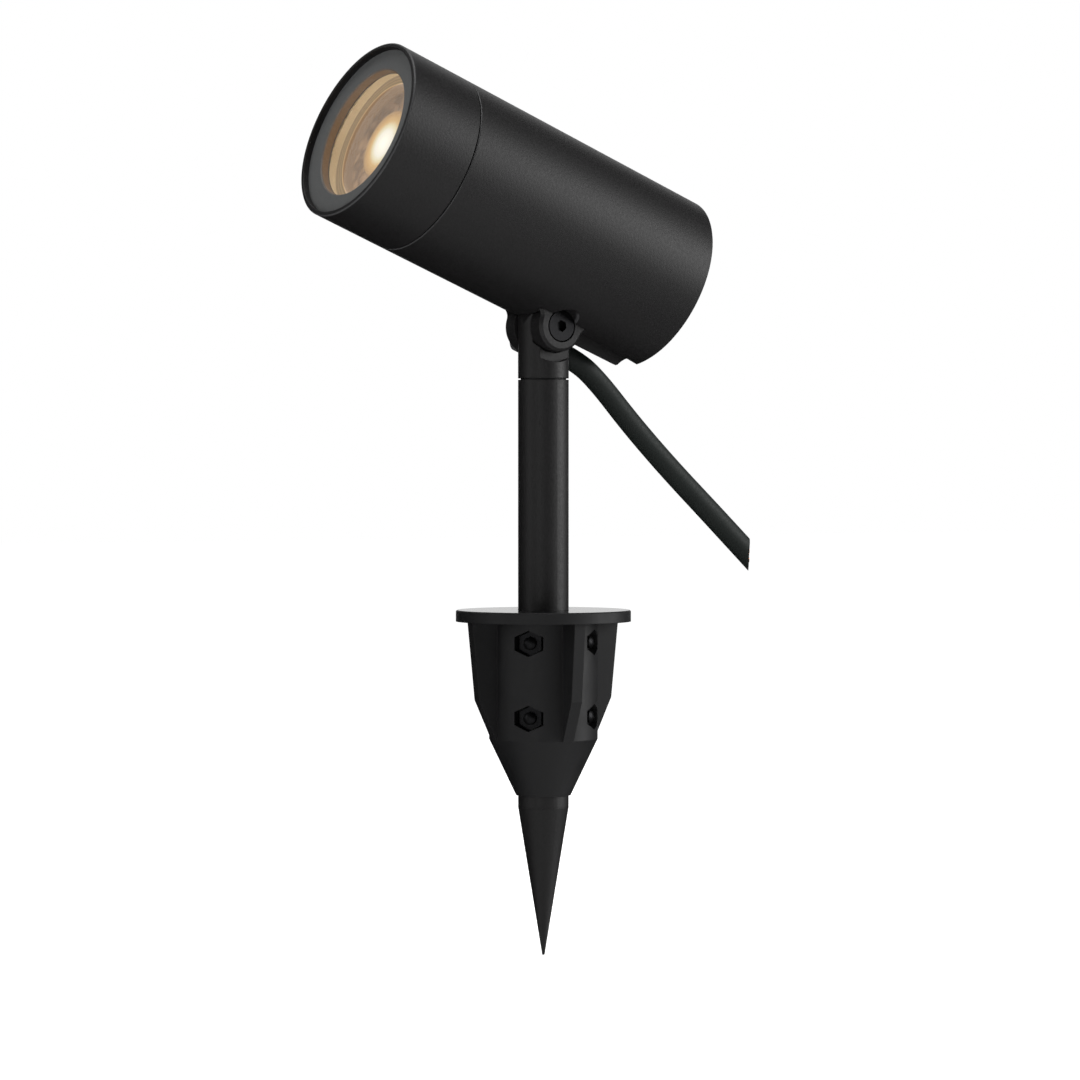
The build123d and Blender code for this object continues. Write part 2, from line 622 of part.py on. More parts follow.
def front_bezel():
    """Front tube with a thin rim, a ledge for the glass and a plain bore that leaves an open seam."""
    bezel_rear = BEZEL_LENGTH - SEAM_GAP
    body = turned([
        (RIM_RADIUS, 0),
        (HEAD_RADIUS - EDGE_BREAK, 0),
        (HEAD_RADIUS, EDGE_BREAK),
        (HEAD_RADIUS, bezel_rear - SEAM_BREAK),
        (HEAD_RADIUS - SEAM_BREAK, bezel_rear),
        (BEZEL_BORE_RADIUS, bezel_rear),
        (BEZEL_BORE_RADIUS, LEDGE_REAR),
        (LEDGE_RADIUS, LEDGE_REAR),
        (LEDGE_RADIUS, LEDGE_FRONT),
        (RIM_RADIUS, LEDGE_FRONT),
    ])
    return tilted(along_head(body))


def bezel_o_ring():
    """O-ring in the spigot's groove."""
    section = O_RING_SECTION / 2
    ring = Torus(BEZEL_BORE_RADIUS - section - FIT_GAP / 2, section)
    return tilted(along_head(Pos(0, 0, SPIGOT_FRONT + SPIGOT_LENGTH / 2) * ring))


def glare_ring():
    """Retaining ring in front of the glass, with a broken edge round its aperture."""
    outer = RIM_RADIUS - FIT_GAP
    inner = outer - GLARE_RING_WIDTH
    body = turned([
        (inner + EDGE_BREAK, RIM_STEP),
        (outer, RIM_STEP),
        (outer, GLASS_FRONT),
        (inner, GLASS_FRONT),
        (inner, RIM_STEP + EDGE_BREAK),
    ])
    return tilted(along_head(body))


def front_glass():
    """Clear disc behind the ring."""
    return tilted(along_head(rod(RIM_RADIUS - LOOSE_GAP, GLASS_FRONT, GLASS_REAR)))


def glass_gasket():
    """Seal between glass and ledge, with a lip down the ledge's inner wall."""
    outer = RIM_RADIUS - LOOSE_GAP
    lip_outer = LEDGE_RADIUS - FIT_GAP
    lip_inner = lip_outer - GASKET_LIP
    body = turned([
        (lip_inner, GLASS_REAR),
        (outer, GLASS_REAR),
        (outer, LEDGE_FRONT),
        (lip_outer, LEDGE_FRONT),
        (lip_outer, LEDGE_REAR),
        (lip_inner, LEDGE_REAR),
    ])
    return tilted(along_head(body))


def optic_lens():
    """Beam optic: a flange, a groove round a domed centre, a curved side and a well over the emitter."""
    flange = HOLDER_RADIUS - HOLDER_WALL / 2 - LENS_FLANGE_GAP
    flange_rear = LEDGE_REAR + LENS_FLANGE_THICKNESS
    groove = flange - LENS_FLANGE_WIDTH
    groove_floor = LEDGE_REAR + LENS_GROOVE_DEPTH
    centre = groove - LENS_GROOVE_WIDTH
    well = EMITTER_DIAMETER / 2 + LENS_WELL_GAP
    foot = BOARD_FRONT - LENS_FLANGE_GAP
    dome_top = LEDGE_REAR + LENS_DOME_SINK
    front = Polyline(
        (centre, dome_top + LENS_DOME_RISE),
        (centre, groove_floor),
        (groove - LENS_GROOVE_TAPER, groove_floor),
        (groove, LEDGE_REAR),
        (flange, LEDGE_REAR),
        (flange, flange_rear),
        (groove + LENS_SIDE_WALL, flange_rear),
    )
    rear = Polyline(
        (well + LENS_FOOT_WALL, foot),
        (well, foot),
        (well, foot - LENS_WELL_DEPTH),
        (0, foot - LENS_WELL_DEPTH),
        (0, dome_top),
    )
    side = SagittaArc(rear @ 0, front @ 1, LENS_SIDE_BULGE)
    dome = ThreePointArc(rear @ 1, (centre / 2, dome_top + LENS_DOME_RISE / 4), front @ 0)
    outline = make_face(Plane.XZ * (front + side + rear + dome))
    return tilted(along_head(revolve(outline, Axis.Z)))


def optic_holder():
    """Ring between the bezel's ledge and the board, stepped for the optic's flange."""
    step = HOLDER_RADIUS - HOLDER_WALL / 2
    flange_rear = LEDGE_REAR + LENS_FLANGE_THICKNESS
    body = turned([
        (step, LEDGE_REAR),
        (HOLDER_RADIUS, LEDGE_REAR),
        (HOLDER_RADIUS, BOARD_FRONT),
        (HOLDER_RADIUS - HOLDER_WALL, BOARD_FRONT),
        (HOLDER_RADIUS - HOLDER_WALL, flange_rear),
        (step, flange_rear),
    ])
    return tilted(along_head(body))


def board_screw_places():
    """Two screws, left and right of the emitter."""
    for side in (-1, 1):
        yield Pos(side * BOARD_SCREW_CIRCLE / 2, 0, 0)


def led_board():
    """Round metal-core board."""
    body = rod(HOLDER_RADIUS, BOARD_FRONT, BOARD_REAR)
    for place in board_screw_places():
        body -= place * rod(BOARD_SCREW_DIAMETER / 2 + FIT_GAP, BOARD_FRONT, BOARD_REAR)
    return tilted(along_head(body))


def led_emitter():
    """Light source: a round base with a low dome."""
    dome_front = BOARD_FRONT - EMITTER_BASE - EMITTER_DOME_HEIGHT
    dome = EMITTER_DOME_DIAMETER / 2
    body = turned([
        (0, dome_front),
        (dome / 2, dome_front),
        (dome, dome_front + EMITTER_DOME_HEIGHT / 2),
        (dome, BOARD_FRONT - EMITTER_BASE),
        (EMITTER_DIAMETER / 2, BOARD_FRONT - EMITTER_BASE),
        (EMITTER_DIAMETER / 2, BOARD_FRONT),
        (0, BOARD_FRONT),
    ])
    return tilted(along_head(body))


def board_screws():
    """Screws from the board into the heat sink."""
    shank = rod(BOARD_SCREW_DIAMETER / 2, BOARD_FRONT, BOARD_REAR + BOARD_SCREW_REACH)
    head = rod(BOARD_SCREW_HEAD_DIAMETER / 2, BOARD_FRONT - BOARD_SCREW_HEAD_HEIGHT, BOARD_FRONT)
    return tilted(along_head(joined([place * (shank + head) for place in board_screw_places()])))


def heat_sink():
    """Aluminium disc that carries the board's heat into the housing."""
    body = rod(HOUSING_BORE_RADIUS - FIT_GAP, BOARD_REAR, SINK_REAR)
    for place in board_screw_places():
        body -= place * rod(BOARD_SCREW_DIAMETER / 2 + FIT_GAP, BOARD_REAR, BOARD_REAR + BOARD_SCREW_REACH)
    return tilted(along_head(body))


def driver_case():
    """Potted driver, fixed to the back of the heat sink."""
    radius = DRIVER_ROOM_RADIUS - DRIVER_SIDE_GAP
    body = turned([
        (0, SINK_REAR),
        (radius, SINK_REAR),
        (radius, DRIVER_REAR - EDGE_BREAK),
        (radius - EDGE_BREAK, DRIVER_REAR),
        (0, DRIVER_REAR),
    ])
    return tilted(along_head(body))


def terminal_block():
    """Terminal block on the keel."""
    body = block(
        (-TERMINAL_WIDTH / 2, TERMINAL_WIDTH / 2),
        (TERMINAL_SETBACK, TERMINAL_SETBACK + TERMINAL_LENGTH),
        (KEEL_TOP, KEEL_TOP + TERMINAL_HEIGHT),
    )
    return tilted(body)


def driver_leads():
    """Two wires from the terminal block forward to the driver."""
    start = DRIVER_REAR - HINGE_SETBACK
    wire = Rot(X=-90) * rod(CORE_DIAMETER / 2, start, TERMINAL_SETBACK)
    return tilted(joined([Pos(side * DRIVER_LEAD_SPREAD / 2, 0, TERMINAL_MIDDLE) * wire for side in (-1, 1)]))


# Gland and cord
def gland_body():
    """Threaded sleeve in the boss, with a collar and a stub for the nut."""
    body = rod(GLAND_RADIUS, CORD_START, GLAND_STUB_REAR)
    body += rod(GLAND_NUT_RADIUS, BOSS_REAR, GLAND_COLLAR_REAR)
    body -= rod(CORD_RADIUS + FIT_GAP, CORD_START, GLAND_STUB_REAR)
    return tilted(along_gland(body))


def gland_nut():
    """Compression nut over the stub and the seal."""
    body = rod(GLAND_NUT_RADIUS, GLAND_COLLAR_REAR, GLAND_MOUTH)
    body -= rod(GLAND_RADIUS + FIT_GAP, GLAND_COLLAR_REAR, GLAND_MOUTH - GLAND_NUT_LIP)
    body -= rod(CORD_RADIUS + LOOSE_GAP / 2, GLAND_COLLAR_REAR, GLAND_MOUTH)
    return tilted(along_gland(body))


def gland_seal():
    """Rubber ring that the nut squeezes on the cord."""
    seal_rear = GLAND_STUB_REAR + GLAND_SEAL_LENGTH
    return tilted(along_gland(tube(GLAND_RADIUS, CORD_RADIUS + FIT_GAP, GLAND_STUB_REAR, seal_rear)))


def gripped_cord():
    """The stretch of cord inside the gland."""
    return tilted(along_gland(rod(CORD_RADIUS, CORD_START, GLAND_MOUTH)))


def core_wires():
    """The cord's cores, from its end up the passage and over to the terminal block."""
    wires = []
    for index in range(CORE_COUNT):
        angle = math.radians(90 + index * 360 / CORE_COUNT)
        sideways = CORE_CIRCLE_RADIUS * math.cos(angle)
        lift = CORE_CIRCLE_RADIUS * math.sin(angle)
        x = GLAND_OFFSET + sideways
        y = WIRE_WAY_SETBACK + lift
        z = lift - GLAND_DROP
        top = TERMINAL_MIDDLE - CORE_STEP * round(sideways / CORE_CIRCLE_RADIUS)
        path = FilletPolyline(
            (x, CORD_START, z),
            (x, y, z),
            (x, y, top),
            (-TERMINAL_WIDTH / 2, y, top),
            radius=min(CORE_BEND, CORE_BEND_SHARE * (CORD_START - y)),
        )
        section = Plane(origin=path @ 0, z_dir=path % 0) * Circle(CORE_DIAMETER / 2)
        wires.append(sweep(section, path=path))
    return tilted(joined(wires))


def cord_route():
    """Corner points of the free cord, from the gland's mouth to the cut end."""
    straight = (GLAND_MOUTH, GLAND_MOUTH + CORD_LEAD_OUT)
    lead_out = [tilted(along_gland(Pos(0, 0, setback))).position for setback in straight]
    return lead_out + [Vector(GLAND_OFFSET, y, z) for y, z in CORD_POINTS_Y_Z]


def corner_radii(points):
    """As large an arc at each corner as its two runs allow."""
    radii = []
    for before, corner, after in zip(points, points[1:], points[2:]):
        arriving = corner - before
        leaving = after - corner
        half_turn = math.radians(arriving.get_angle(leaving)) / 2
        shorter = min(arriving.length, leaving.length)
        radii.append(CORD_BEND_SHARE * shorter / math.tan(half_turn))
    return radii


def supply_cord():
    """The free stretch of the cord, cut off upright and on the slant at its last point."""
    points = cord_route()
    radii = corner_radii(points)
    overrun = CORD_DIAMETER * (points[-1] - points[-2]).normalized()
    path = FilletPolyline(*points[:-1], points[-1] + overrun, radius=radii)
    section = Plane(origin=path @ 0, z_dir=path % 0) * Circle(CORD_RADIUS)
    cut = Plane(origin=points[-1], z_dir=Vector(0, 1, 0).rotate(Axis.Z, -CORD_CUT_TURN))
    cord = split(sweep(section, path=path), bisect_by=cut, keep=Keep.BOTTOM)
    length = path.length - CORD_DIAMETER
    expected = math.pi * CORD_RADIUS ** 2 * length
    print("cord radii", [round(radius, 1) for radius in radii])
    print("cord length", round(length, 2), "volume ratio", round(cord.volume / expected, 5))
    return cord


PIECES = (
    ground_collar,
    collar_nuts,
    collar_studs,
    stem_tube,
    spike_tip,
    stem_insert,
    swivel_knuckle,
    swivel_bolt,
    swivel_washer,
    swivel_spring_washer,
    yoke,
    yoke_screws,
    hinge_screw,
    hinge_nut,
    friction_washers,
    head_housing,
    front_bezel,
    bezel_o_ring,
    glare_ring,
    front_glass,
    glass_gasket,
    optic_lens,
    optic_holder,
    led_board,
    led_emitter,
    board_screws,
    heat_sink,
    driver_case,
    terminal_block,
    driver_leads,
    core_wires,
    gland_body,
    gland_nut,
    gland_seal,
    gripped_cord,
    supply_cord,
)

os.makedirs("parts", exist_ok=True)
for piece in PIECES:
    export_step(piece(), f"parts/{piece.__name__}.step")
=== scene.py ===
# %% [markdown]
# # Landscape spotlight on a ground spike
# A black lamp head tilts on a yoke, a swivel turns it on a round stem, and a ribbed collar with a point
# goes into the soil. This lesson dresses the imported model: it keeps the solids that are right as they are,
# gives them finishes made of nodes, and builds the supply cord anew, because its bends and its cut end
# matter.

import json
import math

import bmesh
import bpy
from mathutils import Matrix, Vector


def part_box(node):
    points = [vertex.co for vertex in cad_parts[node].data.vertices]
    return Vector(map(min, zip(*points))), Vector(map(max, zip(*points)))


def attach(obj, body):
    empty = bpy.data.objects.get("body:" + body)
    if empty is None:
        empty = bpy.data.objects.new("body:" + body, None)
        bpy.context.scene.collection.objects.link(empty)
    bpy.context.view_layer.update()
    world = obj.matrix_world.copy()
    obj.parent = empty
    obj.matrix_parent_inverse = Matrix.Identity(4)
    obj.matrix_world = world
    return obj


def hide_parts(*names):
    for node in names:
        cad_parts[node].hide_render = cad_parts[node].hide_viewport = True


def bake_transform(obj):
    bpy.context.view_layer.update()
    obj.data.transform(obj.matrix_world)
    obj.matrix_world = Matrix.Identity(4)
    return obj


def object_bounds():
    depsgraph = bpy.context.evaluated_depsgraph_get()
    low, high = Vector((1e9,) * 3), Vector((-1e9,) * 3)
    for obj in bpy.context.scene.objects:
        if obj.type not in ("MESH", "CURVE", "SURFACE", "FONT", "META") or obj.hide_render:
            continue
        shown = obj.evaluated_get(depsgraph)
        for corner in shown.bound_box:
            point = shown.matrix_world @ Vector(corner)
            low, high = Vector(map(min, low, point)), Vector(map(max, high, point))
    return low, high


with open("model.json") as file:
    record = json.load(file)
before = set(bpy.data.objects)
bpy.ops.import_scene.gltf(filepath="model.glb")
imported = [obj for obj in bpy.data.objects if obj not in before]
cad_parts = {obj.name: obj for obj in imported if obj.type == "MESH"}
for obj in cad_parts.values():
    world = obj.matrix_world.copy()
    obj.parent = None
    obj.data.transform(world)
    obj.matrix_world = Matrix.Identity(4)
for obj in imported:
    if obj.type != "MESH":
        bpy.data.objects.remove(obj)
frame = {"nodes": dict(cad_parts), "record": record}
cad_box = [list(corner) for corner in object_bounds()]
MM = 0.001

# %% [markdown]
# ## Camera
# The picture was taken with a long lens, almost level with the middle of the stem. The stem's width and the
# ellipse of the collar give the distance, and the ellipse of the lamp's rim gives the direction. A long
# lens at the same distance is the way to keep the photograph's flat perspective.

# %% Camera
CAMERA_AZIMUTH = math.radians(56.7)
CAMERA_DISTANCE = 1301.3 * MM
CAMERA_SIDE_STEP = 1.1 * MM
CAMERA_HEIGHT = 52.0 * MM
CAMERA_DOWN = math.radians(1.1255)
LENS_MM = 133.33
SENSOR_MM = 36.0

to_camera = Vector((math.sin(CAMERA_AZIMUTH), -math.cos(CAMERA_AZIMUTH), 0))
to_right = Vector((math.cos(CAMERA_AZIMUTH), math.sin(CAMERA_AZIMUTH), 0))
upwards = Vector((0, 0, 1))

camera_data = bpy.data.cameras.new("product_camera")
camera_data.sensor_width = SENSOR_MM
camera_data.lens = LENS_MM
camera = bpy.data.objects.new("product_camera", camera_data)
camera.location = CAMERA_DISTANCE * to_camera - CAMERA_SIDE_STEP * to_right + CAMERA_HEIGHT * upwards
camera.rotation_euler = (math.radians(90) - CAMERA_DOWN, 0, CAMERA_AZIMUTH)
bpy.context.scene.collection.objects.link(camera)
bpy.context.scene.camera = camera
print("camera at", [round(value, 4) for value in camera.location])

# %% [markdown]
# ## Colours and nodes
# Colours are written as the hex values that a screen shows, and one function turns them into the linear
# light that Blender mixes. Every node is added by one small function, so a finish reads as a list of its
# nodes. Pattern sizes are written in millimetres, and a texture's scale is how many of them fit in a metre.

# %% Colour and node helpers
def linear(hex_colour):
    """An sRGB hex colour as linear red, green, blue and full opacity."""
    shown = [int(hex_colour[place:place + 2], 16) / 255 for place in (1, 3, 5)]
    return [*(c / 12.92 if c <= 0.04045 else ((c + 0.055) / 1.055) ** 2.4 for c in shown), 1.0]


def per_metre(millimetres):
    """How many features of this size fit in a metre, which is a texture's scale."""
    return 1 / (millimetres * MM)


def add(tree, kind, settings=None, inputs=None):
    """Adds a node. Settings are its properties, and an input takes a value or another node's output."""
    node = tree.nodes.new(kind)
    for name, value in (settings or {}).items():
        setattr(node, name, value)
    for name, value in (inputs or {}).items():
        if isinstance(value, bpy.types.NodeSocket):
            tree.links.new(value, node.inputs[name])
        else:
            node.inputs[name].default_value = value
    return node


# Most of a noise lies in this range, and a bevel needs only few samples for a narrow edge.
NOISE_LOW = 0.3
NOISE_HIGH = 0.7
EDGE_SAMPLES = 6


def new_material(name):
    """An empty material, with its node tree and its output."""
    material = bpy.data.materials.new(name)
    material.use_nodes = True
    material.node_tree.nodes.clear()
    return material, material.node_tree, add(material.node_tree, "ShaderNodeOutputMaterial")


print("black", linear("#202020")[:3])

# %% [markdown]
# ## The lamp's axis
# The head's round shell, the glass and the optic's glow all depend on how a point lies to the lamp's axis.
# The front glass gives that axis: its middle is the middle of its box, and its flat faces point along it.
# One small function measures a place against the axis, because three finishes need that.

# %% Axis of the lamp head
glass_node = frame["nodes"]["front_glass"]
glass_low, glass_high = (Vector(corner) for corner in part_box("front_glass"))
glass_middle = (glass_low + glass_high) / 2
largest_face = max(glass_node.data.polygons, key=lambda face: face.area)
lamp_axis = largest_face.normal.copy()
if lamp_axis.y > 0:
    lamp_axis.negate()


def measure_from_axis(tree, place):
    """Adds nodes that give a place's arm from the glass, its direction round the axis and its distance."""
    arm = add(tree, "ShaderNodeVectorMath", {"operation": "SUBTRACT"}, {0: place, 1: glass_middle})
    around = add(tree, "ShaderNodeVectorMath", {"operation": "CROSS_PRODUCT"}, {
        0: lamp_axis, 1: arm.outputs["Vector"]})
    distance = add(tree, "ShaderNodeVectorMath", {"operation": "LENGTH"}, {0: around.outputs["Vector"]})
    return arm.outputs["Vector"], around.outputs["Vector"], distance.outputs["Value"]


print("axis", [round(value, 4) for value in lamp_axis])
print("glass middle", [round(value, 4) for value in glass_middle])

# %% [markdown]
# ## Black powder coat
# The head, yoke, swivel, stem and point are aluminium under a fine-textured polyester powder coat. The
# powder melts into a skin with grains of about half a millimetre, which scatters light: a broad, dull sheen
# and no reflections. One noise gives the grain, drawn at nearly twice its real size because a finer one
# wouldn't show in the picture, and a slow one keeps the surface from looking computed. The coat draws back
# a little on sharp edges, so a bevel node rounds the shading there. There are two coats, because the head's
# shell gets more nodes in the cells that follow. Each chain keeps what those cells need.

# %% Powder coat
COAT_GRAIN_MM = 0.85
COAT_DRIFT_MM = 18.0
COAT_EDGE_MM = 0.35
COAT_ROUGHNESS = (0.46, 0.55)

coats = {}
chains = {}
for name in ("powder_coated_aluminium", "powder_coated_shell"):
    coats[name], tree, output = new_material(name)
    place = add(tree, "ShaderNodeTexCoord").outputs["Object"]
    grain = add(tree, "ShaderNodeTexNoise", inputs={
        "Vector": place, "Scale": per_metre(COAT_GRAIN_MM), "Detail": 3.0, "Roughness": 0.55})
    drift = add(tree, "ShaderNodeTexNoise", inputs={
        "Vector": place, "Scale": per_metre(COAT_DRIFT_MM), "Detail": 2.0})
    specks = add(tree, "ShaderNodeMix", {"data_type": "RGBA"}, {
        "Factor": grain.outputs["Fac"], 6: linear("#0d0d0d"), 7: linear("#1c1b1c")})
    tone = add(tree, "ShaderNodeMix", {"data_type": "RGBA", "blend_type": "MULTIPLY"}, {
        "Factor": drift.outputs["Fac"], 6: specks.outputs[2], 7: linear("#f0efee")})
    dullness = add(tree, "ShaderNodeMapRange", inputs={
        "Value": grain.outputs["Fac"], "From Min": NOISE_LOW, "From Max": NOISE_HIGH,
        "To Min": COAT_ROUGHNESS[0], "To Max": COAT_ROUGHNESS[1]})
    edge = add(tree, "ShaderNodeBevel", {"samples": EDGE_SAMPLES}, {"Radius": COAT_EDGE_MM * MM})
    chains[name] = {
        "tree": tree, "output": output, "place": place, "grain": grain.outputs["Fac"],
        "tone": tone.outputs[2], "dullness": dullness.outputs["Result"], "normal": edge.outputs["Normal"]}
print("coats", list(coats), "grain scale", round(per_metre(COAT_GRAIN_MM)))

# %% [markdown]
# The head's shell is a turned cylinder. Its facets are wide, so a soft light would show them. More facets
# would help, but the solid's mesh stays as it is. So the shading takes the exact direction away from the
# lamp's axis wherever the facets nearly have it, and leaves ends, seams and cut-outs alone.

# %% Exact direction on the shell
TRUSTED_LIKENESS = (0.985, 0.997)

shell = chains["powder_coated_shell"]
tree = shell["tree"]
facing = add(tree, "ShaderNodeVectorTransform", {
    "vector_type": "NORMAL", "convert_from": "WORLD", "convert_to": "OBJECT"}, {"Vector": shell["normal"]})
_, around, distance = measure_from_axis(tree, shell["place"])
outward = add(tree, "ShaderNodeVectorMath", {"operation": "CROSS_PRODUCT"}, {0: around, 1: lamp_axis})
outward = add(tree, "ShaderNodeVectorMath", {"operation": "NORMALIZE"}, {0: outward.outputs["Vector"]})
likeness = add(tree, "ShaderNodeVectorMath", {"operation": "DOT_PRODUCT"}, {
    0: outward.outputs["Vector"], 1: facing.outputs["Vector"]})
trust = add(tree, "ShaderNodeMapRange", inputs={
    "Value": likeness.outputs["Value"], "From Min": TRUSTED_LIKENESS[0], "From Max": TRUSTED_LIKENESS[1]})
exact = add(tree, "ShaderNodeMix", {"data_type": "VECTOR"}, {
    0: trust.outputs["Result"], 4: facing.outputs["Vector"], 5: outward.outputs["Vector"]})
back = add(tree, "ShaderNodeVectorTransform", {
    "vector_type": "NORMAL", "convert_from": "OBJECT", "convert_to": "WORLD"}, {"Vector": exact.outputs[1]})
shell["normal"] = back.outputs["Vector"]
print("shell direction is exact from a likeness of", TRUSTED_LIKENESS[1])

# %% [markdown]
# The shell's front edges show as pale lines, a painted highlight where the edges catch the light. Bright
# strips of mesh could draw them, but a finish can find them by itself: they lie in the outermost millimetre,
# where the surface leans forward without facing the front.

# %% Painted highlight on the front edges
LEANING = (0.2, 0.5)
FACING_FRONT = (0.97, 0.85)
# Where the painted edge highlight starts and reaches full strength, in millimetres inside the shell's radius.
HIGHLIGHT_BAND_MM = (1.0, 0.6)

bezel_points = [vertex.co for vertex in frame["nodes"]["front_bezel"].data.vertices]
shell_radius = max((point - glass_middle).cross(lamp_axis).length for point in bezel_points)
lean = add(tree, "ShaderNodeVectorMath", {"operation": "DOT_PRODUCT"}, {
    0: facing.outputs["Vector"], 1: lamp_axis})
leaning = add(tree, "ShaderNodeMapRange", inputs={
    "Value": lean.outputs["Value"], "From Min": LEANING[0], "From Max": LEANING[1]})
not_flat = add(tree, "ShaderNodeMapRange", inputs={
    "Value": lean.outputs["Value"], "From Min": FACING_FRONT[0], "From Max": FACING_FRONT[1]})
edge_on = add(tree, "ShaderNodeMath", {"operation": "MULTIPLY"}, {
    0: leaning.outputs["Result"], 1: not_flat.outputs["Result"]})
outside = add(tree, "ShaderNodeMapRange", inputs={
    "Value": distance, "From Min": shell_radius - HIGHLIGHT_BAND_MM[0] * MM,
    "From Max": shell_radius - HIGHLIGHT_BAND_MM[1] * MM})
painted_edge_highlight = add(tree, "ShaderNodeMath", {"operation": "MULTIPLY"}, {
    0: edge_on.outputs["Value"], 1: outside.outputs["Result"]})
# A lighter grey on the front edges is a painted highlight.
painted_highlight_tone = add(tree, "ShaderNodeMix", {"data_type": "RGBA"}, {
    "Factor": painted_edge_highlight.outputs["Value"], 6: shell["tone"], 7: linear("#3d3d3e")})
shell["tone"] = painted_highlight_tone.outputs[2]
print("shell radius", round(shell_radius, 5))

# %% [markdown]
# Both coats end in the same way: the grain lifts the surface a little, and a low specular level keeps the
# black deep, because the rough skin swallows most of what a smooth one would mirror.

# %% Coats put together
COAT_GRAIN_DEPTH_MM = 0.06
COAT_RELIEF = 0.9
COAT_SPECULAR = 0.25

for chain in chains.values():
    tree = chain["tree"]
    relief = add(tree, "ShaderNodeBump", inputs={
        "Strength": COAT_RELIEF, "Distance": COAT_GRAIN_DEPTH_MM * MM, "Height": chain["grain"],
        "Normal": chain["normal"]})
    shader = add(tree, "ShaderNodeBsdfPrincipled", inputs={
        "Base Color": chain["tone"], "Roughness": chain["dullness"], "Specular IOR Level": COAT_SPECULAR,
        "Normal": relief.outputs["Normal"]})
    tree.links.new(shader.outputs["BSDF"], chain["output"].inputs["Surface"])
print("coats finished", len(chains))

# %% [markdown]
# ## Moulded nylon
# The collar and the cable gland are black glass-filled nylon from a spark-eroded mould. The mould leaves an
# even matt grain, a little finer than the powder coat, and the melt leaves faint cloudy flow marks. That is
# the same kind of node chain with other sizes, so the two blacks differ as they do on the real lamp. The
# mould's lid is polished, so the face that looks straight up is smoother and mirrors the wall behind.

# %% Nylon
NYLON_GRAIN_MM = 0.3
NYLON_FLOW_MM = 9.0
NYLON_EDGE_MM = 0.3
NYLON_GRAIN_DEPTH_MM = 0.03
NYLON_ROUGHNESS = (0.5, 0.62)
NYLON_RELIEF = 0.3
NYLON_SPECULAR = 0.25
POLISHED_NORMAL = (0.9, 0.98)
POLISHED_ROUGHNESS = 0.16
POLISHED_RELIEF = 0.04

nylon, tree, output = new_material("glass_filled_nylon")
coordinates = add(tree, "ShaderNodeTexCoord")
place = coordinates.outputs["Object"]
upright = add(tree, "ShaderNodeSeparateXYZ", inputs={"Vector": coordinates.outputs["Normal"]})
polish = add(tree, "ShaderNodeMapRange", inputs={
    "Value": upright.outputs["Z"], "From Min": POLISHED_NORMAL[0], "From Max": POLISHED_NORMAL[1]})
grain = add(tree, "ShaderNodeTexNoise", inputs={
    "Vector": place, "Scale": per_metre(NYLON_GRAIN_MM), "Detail": 2.0})
flow = add(tree, "ShaderNodeTexNoise", inputs={
    "Vector": place, "Scale": per_metre(NYLON_FLOW_MM), "Detail": 4.0, "Distortion": 0.8})
tone = add(tree, "ShaderNodeMix", {"data_type": "RGBA"}, {
    "Factor": flow.outputs["Fac"], 6: linear("#0f0f10"), 7: linear("#161617")})
dullness = add(tree, "ShaderNodeMapRange", inputs={
    "Value": flow.outputs["Fac"], "From Min": NOISE_LOW, "From Max": NOISE_HIGH,
    "To Min": NYLON_ROUGHNESS[0], "To Max": NYLON_ROUGHNESS[1]})
skin = add(tree, "ShaderNodeMix", {"data_type": "FLOAT"}, {
    0: polish.outputs["Result"], 2: dullness.outputs["Result"], 3: POLISHED_ROUGHNESS})
rise = add(tree, "ShaderNodeMapRange", inputs={
    "Value": polish.outputs["Result"], "To Min": NYLON_RELIEF, "To Max": POLISHED_RELIEF})
edge = add(tree, "ShaderNodeBevel", {"samples": EDGE_SAMPLES}, {"Radius": NYLON_EDGE_MM * MM})
relief = add(tree, "ShaderNodeBump", inputs={
    "Strength": rise.outputs["Result"], "Distance": NYLON_GRAIN_DEPTH_MM * MM,
    "Height": grain.outputs["Fac"], "Normal": edge.outputs["Normal"]})
shader = add(tree, "ShaderNodeBsdfPrincipled", inputs={
    "Base Color": tone.outputs[2], "Roughness": skin.outputs[0], "Specular IOR Level": NYLON_SPECULAR,
    "Normal": relief.outputs["Normal"]})
tree.links.new(shader.outputs["BSDF"], output.inputs["Surface"])
print("nylon grain scale", round(per_metre(NYLON_GRAIN_MM)))

# %% [markdown]
# ## Steel and aluminium
# Black-oxide screws are bare steel with a dark conversion layer: a metal that reflects little. The hidden
# screws are plain stainless, and the heat sink is turned aluminium. All three are one recipe with other
# numbers: a fine noise for the tool marks, in the roughness and in the relief. Real marks lie about a tenth
# of a millimetre apart and are drawn coarser, so that they show.

# %% Metals
METALS = {
    "black_oxide_steel": {"dark": "#1c1c1d", "light": "#262627", "mark_mm": 0.25, "rough": (0.4, 0.54)},
    "stainless_steel": {"dark": "#a9aaac", "light": "#bcbdbf", "mark_mm": 0.3, "rough": (0.25, 0.38)},
    "turned_aluminium": {"dark": "#c4c5c8", "light": "#d6d7da", "mark_mm": 0.4, "rough": (0.3, 0.42)},
}
MARK_DEPTH_MM = 0.02
MARK_RELIEF = 0.2

